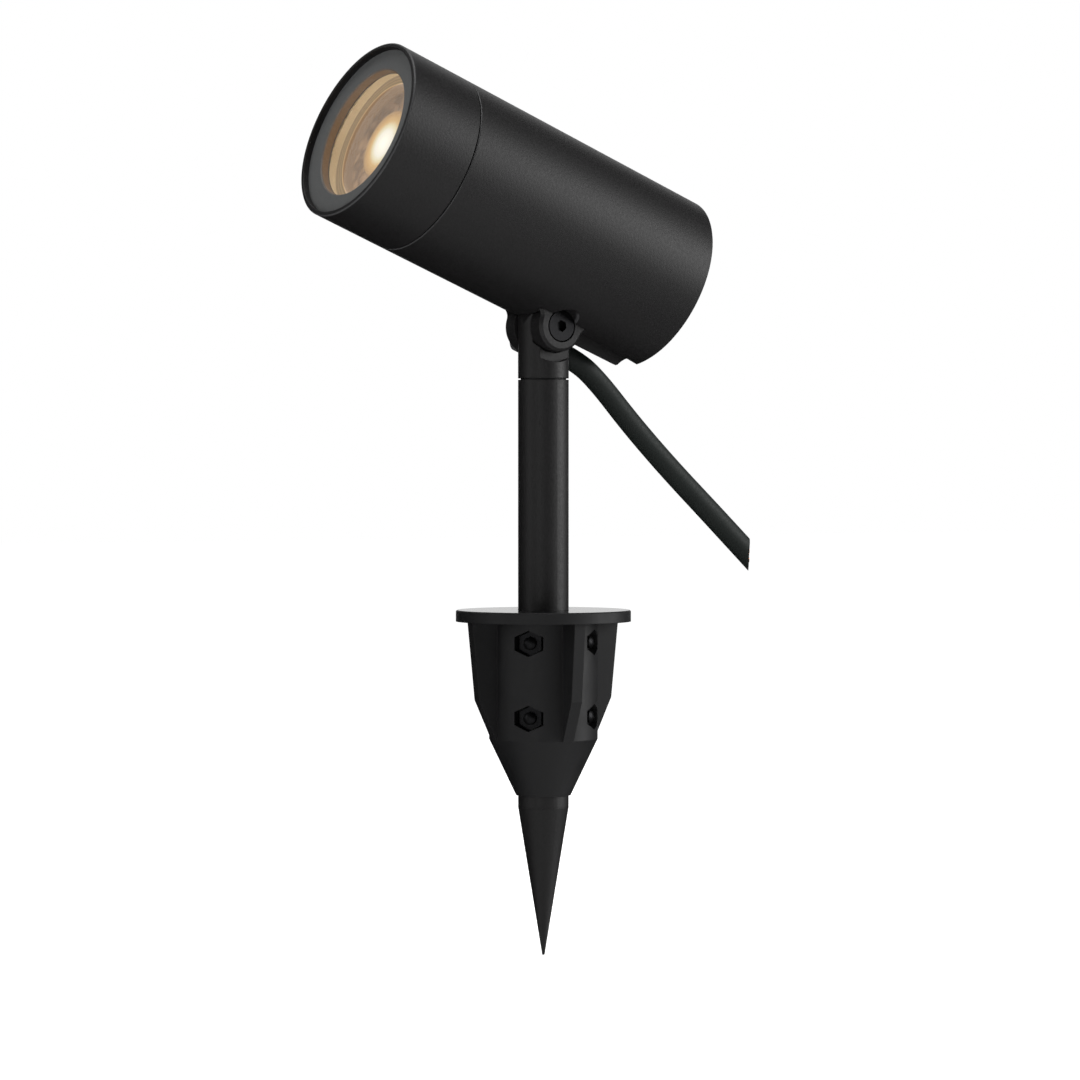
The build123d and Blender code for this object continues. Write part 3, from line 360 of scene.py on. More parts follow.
metals = {}
for name, look in METALS.items():
    metals[name], tree, output = new_material(name)
    place = add(tree, "ShaderNodeTexCoord").outputs["Object"]
    marks = add(tree, "ShaderNodeTexNoise", inputs={
        "Vector": place, "Scale": per_metre(look["mark_mm"]), "Detail": 3.0})
    tone = add(tree, "ShaderNodeMix", {"data_type": "RGBA"}, {
        "Factor": marks.outputs["Fac"], 6: linear(look["dark"]), 7: linear(look["light"])})
    dullness = add(tree, "ShaderNodeMapRange", inputs={
        "Value": marks.outputs["Fac"], "From Min": NOISE_LOW, "From Max": NOISE_HIGH,
        "To Min": look["rough"][0], "To Max": look["rough"][1]})
    relief = add(tree, "ShaderNodeBump", inputs={
        "Strength": MARK_RELIEF, "Distance": MARK_DEPTH_MM * MM, "Height": marks.outputs["Fac"]})
    shader = add(tree, "ShaderNodeBsdfPrincipled", inputs={
        "Base Color": tone.outputs[2], "Metallic": 1.0, "Roughness": dullness.outputs["Result"],
        "Normal": relief.outputs["Normal"]})
    tree.links.new(shader.outputs["BSDF"], output.inputs["Surface"])
print("metals", list(metals))

# %% [markdown]
# ## Rubber, silicone, paint and plain plastics
# The cord's sheath is black chlorinated rubber with a green cast, dull and slightly pocked from the
# extruder. The ring in front of the glass has a satin grey paint, lighter than the black round it. The
# seals, the pale gasket, the holder, the board, the driver and the terminal block are plain moulded or
# printed stuff that hardly shows. The cores at the cord's cut end have smooth PVC in three usual colours.
# One recipe again: a mottled colour, a varied roughness and a fine relief. In the table, spot_mm is the size
# of a mottle and sheen is the specular level. The gasket is translucent and lies before the lit optic, so it
# also glows a little.

# %% Rubbers and plastics
SOFT_LOOKS = {
    "cord_rubber": {
        "dark": "#131715", "light": "#1c211f", "spot_mm": 0.9, "rough": (0.55, 0.7), "sheen": 0.2},
    "ring_paint": {
        "dark": "#4c4d4d", "light": "#5f6060", "spot_mm": 0.9, "rough": (0.5, 0.6), "sheen": 0.2},
    "seal_rubber": {
        "dark": "#1c1c1c", "light": "#242424", "spot_mm": 0.8, "rough": (0.7, 0.85), "sheen": 0.25},
    "gasket_silicone": {
        "dark": "#c9b08c", "light": "#d8c3a2", "spot_mm": 1.5, "rough": (0.4, 0.5), "sheen": 0.4,
        "glow": 0.2},
    "holder_polycarbonate": {
        "dark": "#b7a78f", "light": "#c4b59e", "spot_mm": 2.0, "rough": (0.4, 0.5), "sheen": 0.5},
    "solder_mask": {
        "dark": "#e8e7e2", "light": "#f2f1ee", "spot_mm": 2.0, "rough": (0.3, 0.4), "sheen": 0.5},
    "potting_resin": {
        "dark": "#1f2021", "light": "#2b2c2d", "spot_mm": 3.0, "rough": (0.35, 0.6), "sheen": 0.5},
    "terminal_nylon": {
        "dark": "#d6d4cc", "light": "#e2e0da", "spot_mm": 2.5, "rough": (0.45, 0.6), "sheen": 0.5},
    "brown_pvc": {
        "dark": "#5f3a22", "light": "#6d452b", "spot_mm": 1.2, "rough": (0.4, 0.5), "sheen": 0.5},
    "blue_pvc": {
        "dark": "#2c4d80", "light": "#345a93", "spot_mm": 1.2, "rough": (0.4, 0.5), "sheen": 0.5},
    "green_pvc": {
        "dark": "#4f7a33", "light": "#c2b53a", "spot_mm": 1.2, "rough": (0.4, 0.5), "sheen": 0.5},
}
SPOT_DEPTH_MM = 0.03
SPOT_RELIEF = 0.3

soft = {}
for name, look in SOFT_LOOKS.items():
    soft[name], tree, output = new_material(name)
    place = add(tree, "ShaderNodeTexCoord").outputs["Object"]
    spots = add(tree, "ShaderNodeTexNoise", inputs={
        "Vector": place, "Scale": per_metre(look["spot_mm"]), "Detail": 3.0})
    tone = add(tree, "ShaderNodeMix", {"data_type": "RGBA"}, {
        "Factor": spots.outputs["Fac"], 6: linear(look["dark"]), 7: linear(look["light"])})
    dullness = add(tree, "ShaderNodeMapRange", inputs={
        "Value": spots.outputs["Fac"], "From Min": NOISE_LOW, "From Max": NOISE_HIGH,
        "To Min": look["rough"][0], "To Max": look["rough"][1]})
    relief = add(tree, "ShaderNodeBump", inputs={
        "Strength": SPOT_RELIEF, "Distance": SPOT_DEPTH_MM * MM, "Height": spots.outputs["Fac"]})
    shader = add(tree, "ShaderNodeBsdfPrincipled", inputs={
        "Base Color": tone.outputs[2], "Roughness": dullness.outputs["Result"],
        "Specular IOR Level": look["sheen"], "Normal": relief.outputs["Normal"],
        "Emission Color": linear(look["light"]), "Emission Strength": look.get("glow", 0.0)})
    tree.links.new(shader.outputs["BSDF"], output.inputs["Surface"])
print("soft finishes", list(soft))

# %% [markdown]
# ## Front glass
# The front glass is clear, toughened and coated against reflections, so it hardly mirrors the white studio.
# Its ground edge catches the lamp's light and glows, which shows as a thin pale line round the opening.
# Full transmission with the refraction of window glass makes it clear, and faint smears make its roughness
# uneven. It casts no shadow, because too few samples would find their way through it.

# %% Glass
GLASS_REFRACTION = 1.5
GLASS_SPECULAR = 0.15
GLASS_EDGE_GLOW = 0.7
GROUND_BAND_MM = (0.3, 0.1)
SMEAR_MM = 7.0
SMEAR_NOISE = (0.45, 0.8)
SMEAR_ROUGHNESS = 0.03

glass_arms = [vertex.co - glass_middle for vertex in glass_node.data.vertices]
glass_radius = max(glass_arm.cross(lamp_axis).length for glass_arm in glass_arms)
glass, tree, output = new_material("toughened_glass")
place = add(tree, "ShaderNodeTexCoord").outputs["Object"]
_, _, distance = measure_from_axis(tree, place)
smears = add(tree, "ShaderNodeTexNoise", inputs={
    "Vector": place, "Scale": per_metre(SMEAR_MM), "Detail": 3.0})
clarity = add(tree, "ShaderNodeMapRange", inputs={
    "Value": smears.outputs["Fac"], "From Min": SMEAR_NOISE[0], "From Max": SMEAR_NOISE[1],
    "To Min": 0.0, "To Max": SMEAR_ROUGHNESS})
ground = add(tree, "ShaderNodeMapRange", inputs={
    "Value": distance, "From Min": glass_radius - GROUND_BAND_MM[0] * MM,
    "From Max": glass_radius - GROUND_BAND_MM[1] * MM, "To Min": 0.0, "To Max": GLASS_EDGE_GLOW})
shader = add(tree, "ShaderNodeBsdfPrincipled", inputs={
    "Base Color": linear("#fbfdfb"), "Roughness": clarity.outputs["Result"], "IOR": GLASS_REFRACTION,
    "Transmission Weight": 1.0, "Specular IOR Level": GLASS_SPECULAR,
    "Emission Color": linear("#e2bb8f"), "Emission Strength": ground.outputs["Result"]})
tree.links.new(shader.outputs["BSDF"], output.inputs["Surface"])
glass_node.visible_shadow = False
print("glass radius", round(glass_radius, 5), "casts shadows:", glass_node.visible_shadow)

# %% [markdown]
# ## Lit optic
# The optic behind the glass is a moulded acrylic lens that is lit from behind: its domed centre shows the
# light source, a frosted groove runs round it, and a flat flange carries it. Real light through such a lens
# needs far more samples than a product picture can spend, so the finish glows by itself. The distance from
# the lamp's axis chooses the glow. Each ring below has a radius, a colour and a strength, and two colour
# ramps blend from ring to ring. The strengths go into their ramp divided by a top value and are multiplied
# by it afterwards, so that the ramp stays between black and white.

# %% Rings of the optic
OPTIC_RINGS_MM = (
    (0.0, "#fff9ea", 1.25),
    (4.5, "#fff8ea", 1.0),
    (6.2, "#fff0c6", 0.85),
    (7.8, "#ffd08a", 0.71),
    (9.6, "#ffc884", 0.56),
    (11.2, "#ffca8c", 0.42),
    (11.45, "#ffd0a4", 0.32),
    (15.4, "#ffcba0", 0.23),
    (19.5, "#ffcd9e", 0.25),
    (19.8, "#ffd1a6", 0.33),
    (19.95, "#ffd4a3", 0.72),
    (20.25, "#ffe0b7", 0.32),
    (23.5, "#ffddb9", 0.34),
)
OPTIC_REACH_MM = 24.0
RAMP_TOP = 2.0

optic, tree, output = new_material("lit_optic_acrylic")
place = add(tree, "ShaderNodeTexCoord").outputs["Object"]
arm, _, distance = measure_from_axis(tree, place)
share = add(tree, "ShaderNodeMath", {"operation": "DIVIDE"}, {0: distance, 1: OPTIC_REACH_MM * MM})
glow = add(tree, "ShaderNodeValToRGB", inputs={"Fac": share.outputs["Value"]})
power = add(tree, "ShaderNodeValToRGB", inputs={"Fac": share.outputs["Value"]})
for ramp, holds_colour in ((glow, True), (power, False)):
    stops = ramp.color_ramp.elements
    while len(stops) < len(OPTIC_RINGS_MM):
        stops.new(0.5)
    for stop, (ring_mm, colour, ring_power) in zip(stops, OPTIC_RINGS_MM):
        grey = ring_power / RAMP_TOP
        stop.position = ring_mm / OPTIC_REACH_MM
        stop.color = linear(colour) if holds_colour else (grey, grey, grey, 1.0)
ring_glow = add(tree, "ShaderNodeMath", {"operation": "MULTIPLY"}, {0: power.outputs["Color"], 1: RAMP_TOP})
print("optic rings", len(OPTIC_RINGS_MM))

# %% [markdown]
# The flange has fine moulded ridges that catch the light. Rings of geometry could make them, but a sine of
# the distance from the axis is lighter: it brightens and dims the glow. The ridges are drawn about a
# millimetre apart, which is as coarse as they need to be to show in the render.

# %% Ridges on the flange
RIDGE_MM = 1.1
RIDGE_SHARE = 0.18
FLANGE_START_MM = (19.4, 20.4)

phase = add(tree, "ShaderNodeMath", {"operation": "MULTIPLY"}, {
    0: distance, 1: 2 * math.pi * per_metre(RIDGE_MM)})
wave = add(tree, "ShaderNodeMath", {"operation": "SINE"}, {0: phase.outputs["Value"]})
ridge_share = add(tree, "ShaderNodeMapRange", inputs={
    "Value": distance, "From Min": FLANGE_START_MM[0] * MM, "From Max": FLANGE_START_MM[1] * MM,
    "To Min": 0.0, "To Max": RIDGE_SHARE})
ridges = add(tree, "ShaderNodeMath", {"operation": "MULTIPLY_ADD"}, {
    0: wave.outputs["Value"], 1: ridge_share.outputs["Result"], 2: 1.0})
print("ridges per metre", round(per_metre(RIDGE_MM)))

# %% [markdown]
# The groove is darker on one side, high and on the left in the picture, and the light breaks into streaks on
# its frosted wall. A distorted noise gives the streaks, drawn coarse enough to show, and the way that a place
# lies round the axis gives the shade. Both count only between the two edges of the groove.

# %% Groove of the optic
GROOVE_START_MM = (11.6, 13.0)
GROOVE_END_MM = (18.6, 19.4)
SHADED_FROM = 0.75
SHADED_SHARE = 0.55
STREAK_MM = 5.0
STREAK_NOISE = (0.35, 0.65)
STREAK_RANGE = (0.62, 1.5)

entering = add(tree, "ShaderNodeMapRange", inputs={
    "Value": distance, "From Min": GROOVE_START_MM[0] * MM, "From Max": GROOVE_START_MM[1] * MM})
leaving = add(tree, "ShaderNodeMapRange", inputs={
    "Value": distance, "From Min": GROOVE_END_MM[1] * MM, "From Max": GROOVE_END_MM[0] * MM})
in_groove = add(tree, "ShaderNodeMath", {"operation": "MULTIPLY"}, {
    0: entering.outputs["Result"], 1: leaving.outputs["Result"]})
side_axis = Vector((1, 0, 0))
shaded_side = (upwards - upwards.dot(lamp_axis) * lamp_axis).normalized() - side_axis
along_side = add(tree, "ShaderNodeVectorMath", {"operation": "DOT_PRODUCT"}, {
    0: arm, 1: shaded_side.normalized()})
turn = add(tree, "ShaderNodeMath", {"operation": "DIVIDE"}, {0: along_side.outputs["Value"], 1: distance})
shade = add(tree, "ShaderNodeMapRange", inputs={
    "Value": turn.outputs["Value"], "From Min": SHADED_FROM, "From Max": 1.0,
    "To Min": 1.0, "To Max": SHADED_SHARE})
streaks = add(tree, "ShaderNodeTexNoise", inputs={
    "Vector": place, "Scale": per_metre(STREAK_MM), "Detail": 3.0, "Distortion": 1.2})
streak = add(tree, "ShaderNodeMapRange", inputs={
    "Value": streaks.outputs["Fac"], "From Min": STREAK_NOISE[0], "From Max": STREAK_NOISE[1],
    "To Min": STREAK_RANGE[0], "To Max": STREAK_RANGE[1]})
mottle = add(tree, "ShaderNodeMath", {"operation": "MULTIPLY"}, {
    0: shade.outputs["Result"], 1: streak.outputs["Result"]})
print("shaded side", [round(value, 3) for value in shaded_side.normalized()])

# %% [markdown]
# The groove takes the streaks and everything else takes the ridges. The acrylic's own colour is dark,
# because nearly all that the eye sees of a lit lens is the light that comes out of it.

# %% Optic put together
OPTIC_ROUGHNESS = 0.35
OPTIC_SPECULAR = 0.15

play = add(tree, "ShaderNodeMix", {"data_type": "FLOAT"}, {
    0: in_groove.outputs["Value"], 2: ridges.outputs["Value"], 3: mottle.outputs["Value"]})
strength = add(tree, "ShaderNodeMath", {"operation": "MULTIPLY"}, {
    0: ring_glow.outputs["Value"], 1: play.outputs[0]})
shader = add(tree, "ShaderNodeBsdfPrincipled", inputs={
    "Base Color": linear("#3f3122"), "Roughness": OPTIC_ROUGHNESS, "Specular IOR Level": OPTIC_SPECULAR,
    "Emission Color": glow.outputs["Color"], "Emission Strength": strength.outputs["Value"]})
tree.links.new(shader.outputs["BSDF"], output.inputs["Surface"])
print("optic nodes", len(tree.nodes))

# %% [markdown]
# ## Emitter
# The light source is a flat chip under a layer of yellow phosphor, hidden behind the optic. Phosphor is a
# powder in clear silicone, so it looks grainy, and when it is lit it glows warm white. Its grains are a few
# hundredths of a millimetre and are drawn far coarser, so that they would show with the optic taken off.

# %% Emitter
PHOSPHOR_MM = 0.4
EMITTER_ROUGHNESS = 0.5
EMITTER_STRENGTH = 3.0

emitter, tree, output = new_material("phosphor_emitter")
place = add(tree, "ShaderNodeTexCoord").outputs["Object"]
phosphor = add(tree, "ShaderNodeTexNoise", inputs={
    "Vector": place, "Scale": per_metre(PHOSPHOR_MM), "Detail": 2.0})
tone = add(tree, "ShaderNodeMix", {"data_type": "RGBA"}, {
    "Factor": phosphor.outputs["Fac"], 6: linear("#ffd98c"), 7: linear("#ffe7ae")})
shader = add(tree, "ShaderNodeBsdfPrincipled", inputs={
    "Base Color": tone.outputs[2], "Roughness": EMITTER_ROUGHNESS,
    "Emission Color": tone.outputs[2], "Emission Strength": EMITTER_STRENGTH})
tree.links.new(shader.outputs["BSDF"], output.inputs["Surface"])
print("emitter strength", EMITTER_STRENGTH)

# %% [markdown]
# ## Dress the solids
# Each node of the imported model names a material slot. One table says which finish each slot gets, so every
# solid is dressed in one loop. A second table has the few nodes with a finish of their own: the two pieces
# of the head's shell, and the cores, which run in black rubber sleeving between the gland and the
# terminals.

# %% Dress the solids
FINISHES = {
    "powder_coat": coats["powder_coated_aluminium"],
    "moulded_nylon": nylon,
    "black_steel": metals["black_oxide_steel"],
    "plain_steel": metals["stainless_steel"],
    "satin_ring": soft["ring_paint"],
    "clear_glass": glass,
    "clear_optic": optic,
    "holder_plastic": soft["holder_polycarbonate"],
    "board_white": soft["solder_mask"],
    "emitter_warm": emitter,
    "bare_aluminium": metals["turned_aluminium"],
    "driver_plastic": soft["potting_resin"],
    "terminal_plastic": soft["terminal_nylon"],
    "wire_insulation": soft["brown_pvc"],
    "seal_rubber": soft["seal_rubber"],
    "pale_silicone": soft["gasket_silicone"],
    "cord_rubber": soft["cord_rubber"],
}
OWN_FINISHES = {
    "head_housing": coats["powder_coated_shell"],
    "front_bezel": coats["powder_coated_shell"],
    "core_wires": soft["seal_rubber"],
}
for subpart in frame["record"]["subparts"]:
    node = frame["nodes"][subpart["node"]]
    finish = OWN_FINISHES.get(subpart["node"], FINISHES[subpart["material_slot"]])
    for slot in node.material_slots:
        slot.material = finish

# %% [markdown]
# ## Supply cord
# The cord is a round rubber cable, stiff enough to lean out from the gland before its weight bends it down.
# It could be a bevelled curve, but its end is cut on the slant and shows its cores, so it is a mesh: a
# spline with the route's points gives the line, and rings of points along that line give the sheath.

# %% Line of the cord
CORD_X = -17.2 * MM
CORD_Y_Z_MM = (
    (14.893, 89.282),
    (24.636, 85.365),
    (33.3, 78.4),
    (46.3, 64.6),
    (62.6, 49.2),
    (79.9, 34.0),
    (95.3, 20.3),
)
LINE_STEPS = 16
LINE_ORDER = 3

route = [Vector((CORD_X, y * MM, z * MM)) for y, z in CORD_Y_Z_MM]

curve = bpy.data.curves.new("cord_line", "CURVE")
curve.dimensions = "3D"
curve.resolution_u = LINE_STEPS
spline = curve.splines.new("NURBS")
spline.points.add(len(route) - 1)
for control, point in zip(spline.points, route):
    control.co = (*point, 1.0)
spline.order_u = LINE_ORDER
spline.use_endpoint_u = True
line_object = bpy.data.objects.new("cord_line", curve)
line_mesh = bpy.data.meshes.new_from_object(line_object)
line = [vertex.co.copy() for vertex in line_mesh.vertices]
bpy.data.objects.remove(line_object)
bpy.data.curves.remove(curve)
bpy.data.meshes.remove(line_mesh)
cord_length = sum((after - before).length for before, after in zip(line, line[1:]))
print("cord points", len(line), "length", round(cord_length, 4))

# %% [markdown]
# The sheath holds three twisted cores, and their slow twist shows as a faint ripple on the outside. Each
# ring of points stands square to the line. The last centimetre leans over until its end lies in the upright
# plane of the cut, so the cut is one flat face.

# %% Sheath
CORD_DIAMETER = 7.6 * MM
CORD_SWELL = 0.15 * MM
CORD_SIDES = 48
CORE_COUNT = 3
CORE_TWIST = 55 * MM
RIPPLE = 0.04 * MM
CUT_LEAN = 12 * MM
CUT_TURN = math.radians(33.3)

cut_normal = Vector((math.sin(CUT_TURN), math.cos(CUT_TURN), 0))


def on_the_cut(point, direction):
    """How far a point moves along a direction to reach the plane of the cut."""
    return (line[-1] - point).dot(cut_normal) / direction.dot(cut_normal)


def ring_of_points(centre, direction, radius_at, sides):
    """Points round a centre, square to a direction."""
    normal = direction.cross(side_axis).normalized()
    points = []
    for index in range(sides):
        angle = 2 * math.pi * index / sides
        arm = math.cos(angle) * side_axis + math.sin(angle) * normal
        points.append(centre + radius_at(angle) * arm)
    return points


cord_mesh = bmesh.new()
travelled = 0.0
last_ring = None
for index, centre in enumerate(line):
    before = line[max(index - 1, 0)]
    after = line[min(index + 1, len(line) - 1)]
    direction = (after - before).normalized()
    travelled += (centre - before).length
    twist = 2 * math.pi * travelled / CORE_TWIST
    lean = max(0.0, 1 - (cord_length - travelled) / CUT_LEAN)
    sheath_radius = CORD_DIAMETER / 2 + CORD_SWELL * (2 * travelled / cord_length - 1)
    points = ring_of_points(
        centre, direction,
        lambda angle: sheath_radius - RIPPLE * (1 - math.cos(CORE_COUNT * angle + twist)) / 2, CORD_SIDES)
    ring = [
        cord_mesh.verts.new(point + lean * on_the_cut(point, direction) * direction) for point in points]
    if last_ring:
        for side in range(CORD_SIDES):
            following = (side + 1) % CORD_SIDES
            cord_mesh.faces.new((last_ring[side], last_ring[following], ring[following], ring[side]))
    else:
        cord_mesh.faces.new(ring)
    last_ring = ring
cord_mesh.faces.new(reversed(last_ring))
for face in cord_mesh.faces:
    face.smooth = len(face.verts) == 4
print("sheath faces", len(cord_mesh.faces))

# %% [markdown]
# The cut shows the ends of the three insulated cores, and in each of them the copper. Short rods that stand
# a little proud of the cut make both: a wide one for the insulation, and a thin one that stands out further
# for the copper. Their other ends are hidden in the sheath.

# %% Cores at the cut
CORE_RADIUS = 0.95 * MM
COPPER_RADIUS = 0.55 * MM
CORE_CIRCLE = 1.25 * MM
CORE_PROUD = 0.25 * MM
CORE_SIDES = 16
CORE_LAYERS = ((CORE_RADIUS, CORE_PROUD), (COPPER_RADIUS, 2 * CORE_PROUD))

end_direction = (line[-1] - line[-2]).normalized()
end_normal = end_direction.cross(side_axis).normalized()
for core in range(CORE_COUNT):
    angle = math.pi / 2 + 2 * math.pi * core / CORE_COUNT
    core_centre = line[-1] + CORE_CIRCLE * (math.cos(angle) * side_axis + math.sin(angle) * end_normal)
    for layer, (layer_radius, proud) in enumerate(CORE_LAYERS):
        points = ring_of_points(core_centre, end_direction, lambda angle: layer_radius, CORE_SIDES)
        cut_points = [point + on_the_cut(point, end_direction) * end_direction for point in points]
        outer = [cord_mesh.verts.new(point + proud * end_direction) for point in cut_points]
        inner = [cord_mesh.verts.new(point - proud * end_direction) for point in cut_points]
        faces = [cord_mesh.faces.new(reversed(outer)), cord_mesh.faces.new(inner)]
        for side in range(CORE_SIDES):
            following = (side + 1) % CORE_SIDES
            corners = (inner[side], inner[following], outer[following], outer[side])
            faces.append(cord_mesh.faces.new(corners))
        for face in faces:
            face.material_index = core + 1 if layer == 0 else CORE_COUNT + 1
bmesh.ops.recalc_face_normals(cord_mesh, faces=cord_mesh.faces)

cord_data = bpy.data.meshes.new("supply_cord_sheath")
cord_mesh.to_mesh(cord_data)
cord_mesh.free()
print("cord faces", len(cord_data.polygons))

# %% [markdown]
# Each core is a bundle of bare copper strands, fresh and bright where they are cut. A pattern of cells
# stands for the strands at their usual thickness: each cell is bright in its middle, and a painted shade
# darkens it towards its edge, between the strands.

# %% Copper strands
STRAND_MM = 0.2
STRAND_DEPTH_MM = 0.05
STRAND_RELIEF = 0.5
COPPER_ROUGHNESS = 0.35

copper, tree, output = new_material("copper_strands")
place = add(tree, "ShaderNodeTexCoord").outputs["Object"]
strands = add(tree, "ShaderNodeTexVoronoi", inputs={"Vector": place, "Scale": per_metre(STRAND_MM)})
# Darker towards each cell's edge: painted shade between the strands.
tone = add(tree, "ShaderNodeMix", {"data_type": "RGBA"}, {
    "Factor": strands.outputs["Distance"], 6: linear("#c98a63"), 7: linear("#8a5436")})
relief = add(tree, "ShaderNodeBump", inputs={
    "Strength": STRAND_RELIEF, "Distance": STRAND_DEPTH_MM * MM, "Height": strands.outputs["Distance"]})
shader = add(tree, "ShaderNodeBsdfPrincipled", inputs={
    "Base Color": tone.outputs[2], "Metallic": 1.0, "Roughness": COPPER_ROUGHNESS,
    "Normal": relief.outputs["Normal"]})
tree.links.new(shader.outputs["BSDF"], output.inputs["Surface"])
print("strands per metre", round(per_metre(STRAND_MM)))

# %% [markdown]
# The new cord takes the place of its plain solid. Its upper end sits in the gland.

# %% Cord in the scene
supply_cord = bpy.data.objects.new("supply_cord_sheath", cord_data)
bpy.context.scene.collection.objects.link(supply_cord)
for finish in (soft["cord_rubber"], soft["brown_pvc"], soft["blue_pvc"], soft["green_pvc"], copper):
    cord_data.materials.append(finish)
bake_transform(supply_cord)
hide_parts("supply_cord")
print("cord replaces its solid")

# %% [markdown]
# ## White background
# The photograph was taken before a white background. More light on a wall would also light the lamp, so the
# world is white only for the camera and for glossy and clear surfaces, and gives a weak, plain light to
# everything else. One small function tells these rays apart, because the floor needs it too.

# %% World
WORLD_FILL = 0.1


def rays_that_show(tree):
    """Adds nodes that give one for rays of the camera, mirrors and clear surfaces, or else nought."""
    rays = add(tree, "ShaderNodeLightPath")
    seen = rays.outputs["Is Camera Ray"]
    for kind_of_ray in ("Is Glossy Ray", "Is Transmission Ray"):
        either = add(tree, "ShaderNodeMath", {"operation": "ADD", "use_clamp": True}, {
            0: seen, 1: rays.outputs[kind_of_ray]})
        seen = either.outputs["Value"]
    return seen


world = bpy.data.worlds.new("studio_world")
bpy.context.scene.world = world
world.use_nodes = True
tree = world.node_tree
tree.nodes.clear()
level = add(tree, "ShaderNodeMapRange", inputs={
    "Value": rays_that_show(tree), "To Min": WORLD_FILL, "To Max": 1.0})
backdrop = add(tree, "ShaderNodeBackground", inputs={
    "Color": linear("#ffffff"), "Strength": level.outputs["Result"]})
add(tree, "ShaderNodeOutputWorld", inputs={"Surface": backdrop.outputs["Background"]})
bpy.context.scene.view_settings.view_transform = "Standard"
print("world light on the lamp", WORLD_FILL)

# %% [markdown]
# The floor is white paper that lies just below the point. Real paper in the lamp's shadow turns grey, so it
# is lifted to white in the same way as the world, and only a trace of shadow stays on it.

# %% Floor
FLOOR_REACH = 6.0
FLOOR_GAP = 0.5 * MM
FLOOR_LIFT = 0.93
PAPER_ROUGHNESS = 0.9

paper, tree, output = new_material("white_paper_floor")
lift = add(tree, "ShaderNodeMath", {"operation": "MULTIPLY"}, {0: rays_that_show(tree), 1: FLOOR_LIFT})
shader = add(tree, "ShaderNodeBsdfPrincipled", inputs={
    "Base Color": linear("#e6e6e6"), "Roughness": PAPER_ROUGHNESS, "Specular IOR Level": 0.0,
    "Emission Color": linear("#ffffff"), "Emission Strength": lift.outputs["Value"]})
tree.links.new(shader.outputs["BSDF"], output.inputs["Surface"])

floor_mesh = bmesh.new()
bmesh.ops.create_grid(floor_mesh, x_segments=1, y_segments=1, size=FLOOR_REACH)
floor_data = bpy.data.meshes.new("studio_floor")
floor_mesh.to_mesh(floor_data)
floor_mesh.free()
floor_data.materials.append(paper)
studio_floor = bpy.data.objects.new("studio_floor", floor_data)
studio_floor.location = (0, 0, cad_box[0][2] - FLOOR_GAP)
bpy.context.scene.collection.objects.link(studio_floor)
print("floor at", round(studio_floor.location.z, 4))

# %% [markdown]
# A black thing before a white wall gets pale rims, because every surface turns into a mirror at a low
# angle. A photographer stands dark cloth round it, just out of the picture, and leaves the top open and a
# gap behind. This curtain does the same: only reflections see it, so the picture stays white and the lamp's
# edges stay black. Through the gap the white wall shines on what lies flat, such as the collar's flange.
# The cloth is velvet, whose pile swallows light. The pile is drawn coarser than it is, because reflections
# blur it.

# %% Dark curtain
CURTAIN_RADIUS = 1.7
CURTAIN_HEIGHT = 4.0
CURTAIN_SIDES = 64
CURTAIN_GAP = 0.3 * MM
CURTAIN_OPENING = math.radians(22)
PILE_MM = 3.0

velvet, tree, output = new_material("black_velvet")
place = add(tree, "ShaderNodeTexCoord").outputs["Object"]
pile = add(tree, "ShaderNodeTexNoise", inputs={
    "Vector": place, "Scale": per_metre(PILE_MM), "Detail": 2.0})
tone = add(tree, "ShaderNodeMix", {"data_type": "RGBA"}, {
    "Factor": pile.outputs["Fac"], 6: linear("#101010"), 7: linear("#1c1c1c")})
shader = add(tree, "ShaderNodeBsdfPrincipled", inputs={
    "Base Color": tone.outputs[2], "Roughness": 1.0, "Specular IOR Level": 0.0})
tree.links.new(shader.outputs["BSDF"], output.inputs["Surface"])

curtain_mesh = bmesh.new()
bmesh.ops.create_cone(
    curtain_mesh, cap_ends=True, segments=CURTAIN_SIDES, radius1=CURTAIN_RADIUS, radius2=CURTAIN_RADIUS,
    depth=CURTAIN_HEIGHT)
lid = max(curtain_mesh.faces, key=lambda face: face.calc_center_median().z)
opening = [lid]
for face in curtain_mesh.faces:
    middle = face.calc_center_median()
    if middle.xy.length > CURTAIN_RADIUS / 2 and middle.angle(-to_camera) < CURTAIN_OPENING:
        opening.append(face)
bmesh.ops.delete(curtain_mesh, geom=opening, context="FACES_ONLY")
curtain_data = bpy.data.meshes.new("dark_curtain")
curtain_mesh.to_mesh(curtain_data)
curtain_mesh.free()
curtain_data.materials.append(velvet)
dark_curtain = bpy.data.objects.new("dark_curtain", curtain_data)
dark_curtain.location = (0, 0, studio_floor.location.z + CURTAIN_GAP + CURTAIN_HEIGHT / 2)
for kind_of_ray in ("camera", "diffuse", "transmission", "volume_scatter", "shadow"):
    setattr(dark_curtain, f"visible_{kind_of_ray}", False)
bpy.context.scene.collection.objects.link(dark_curtain)
print("curtain shows in reflections only:", dark_curtain.visible_glossy)

# %% [markdown]
# ## Lamps
# The photograph was lit by one large softbox on the camera's right, almost level with the lamp. Weak lamps
# fill the left and the front, a small one behind gives the rim its thin bright line, and one above lights
# the head's back. White cards on the floor throw some light up, under the head and on the point: they are
# lamps that look straight up. All of them are area lamps, because a large one gives a dull black its broad,
# soft sheen. Places are counted from the subject's middle: to the right, up, and towards the camera, in
# metres.

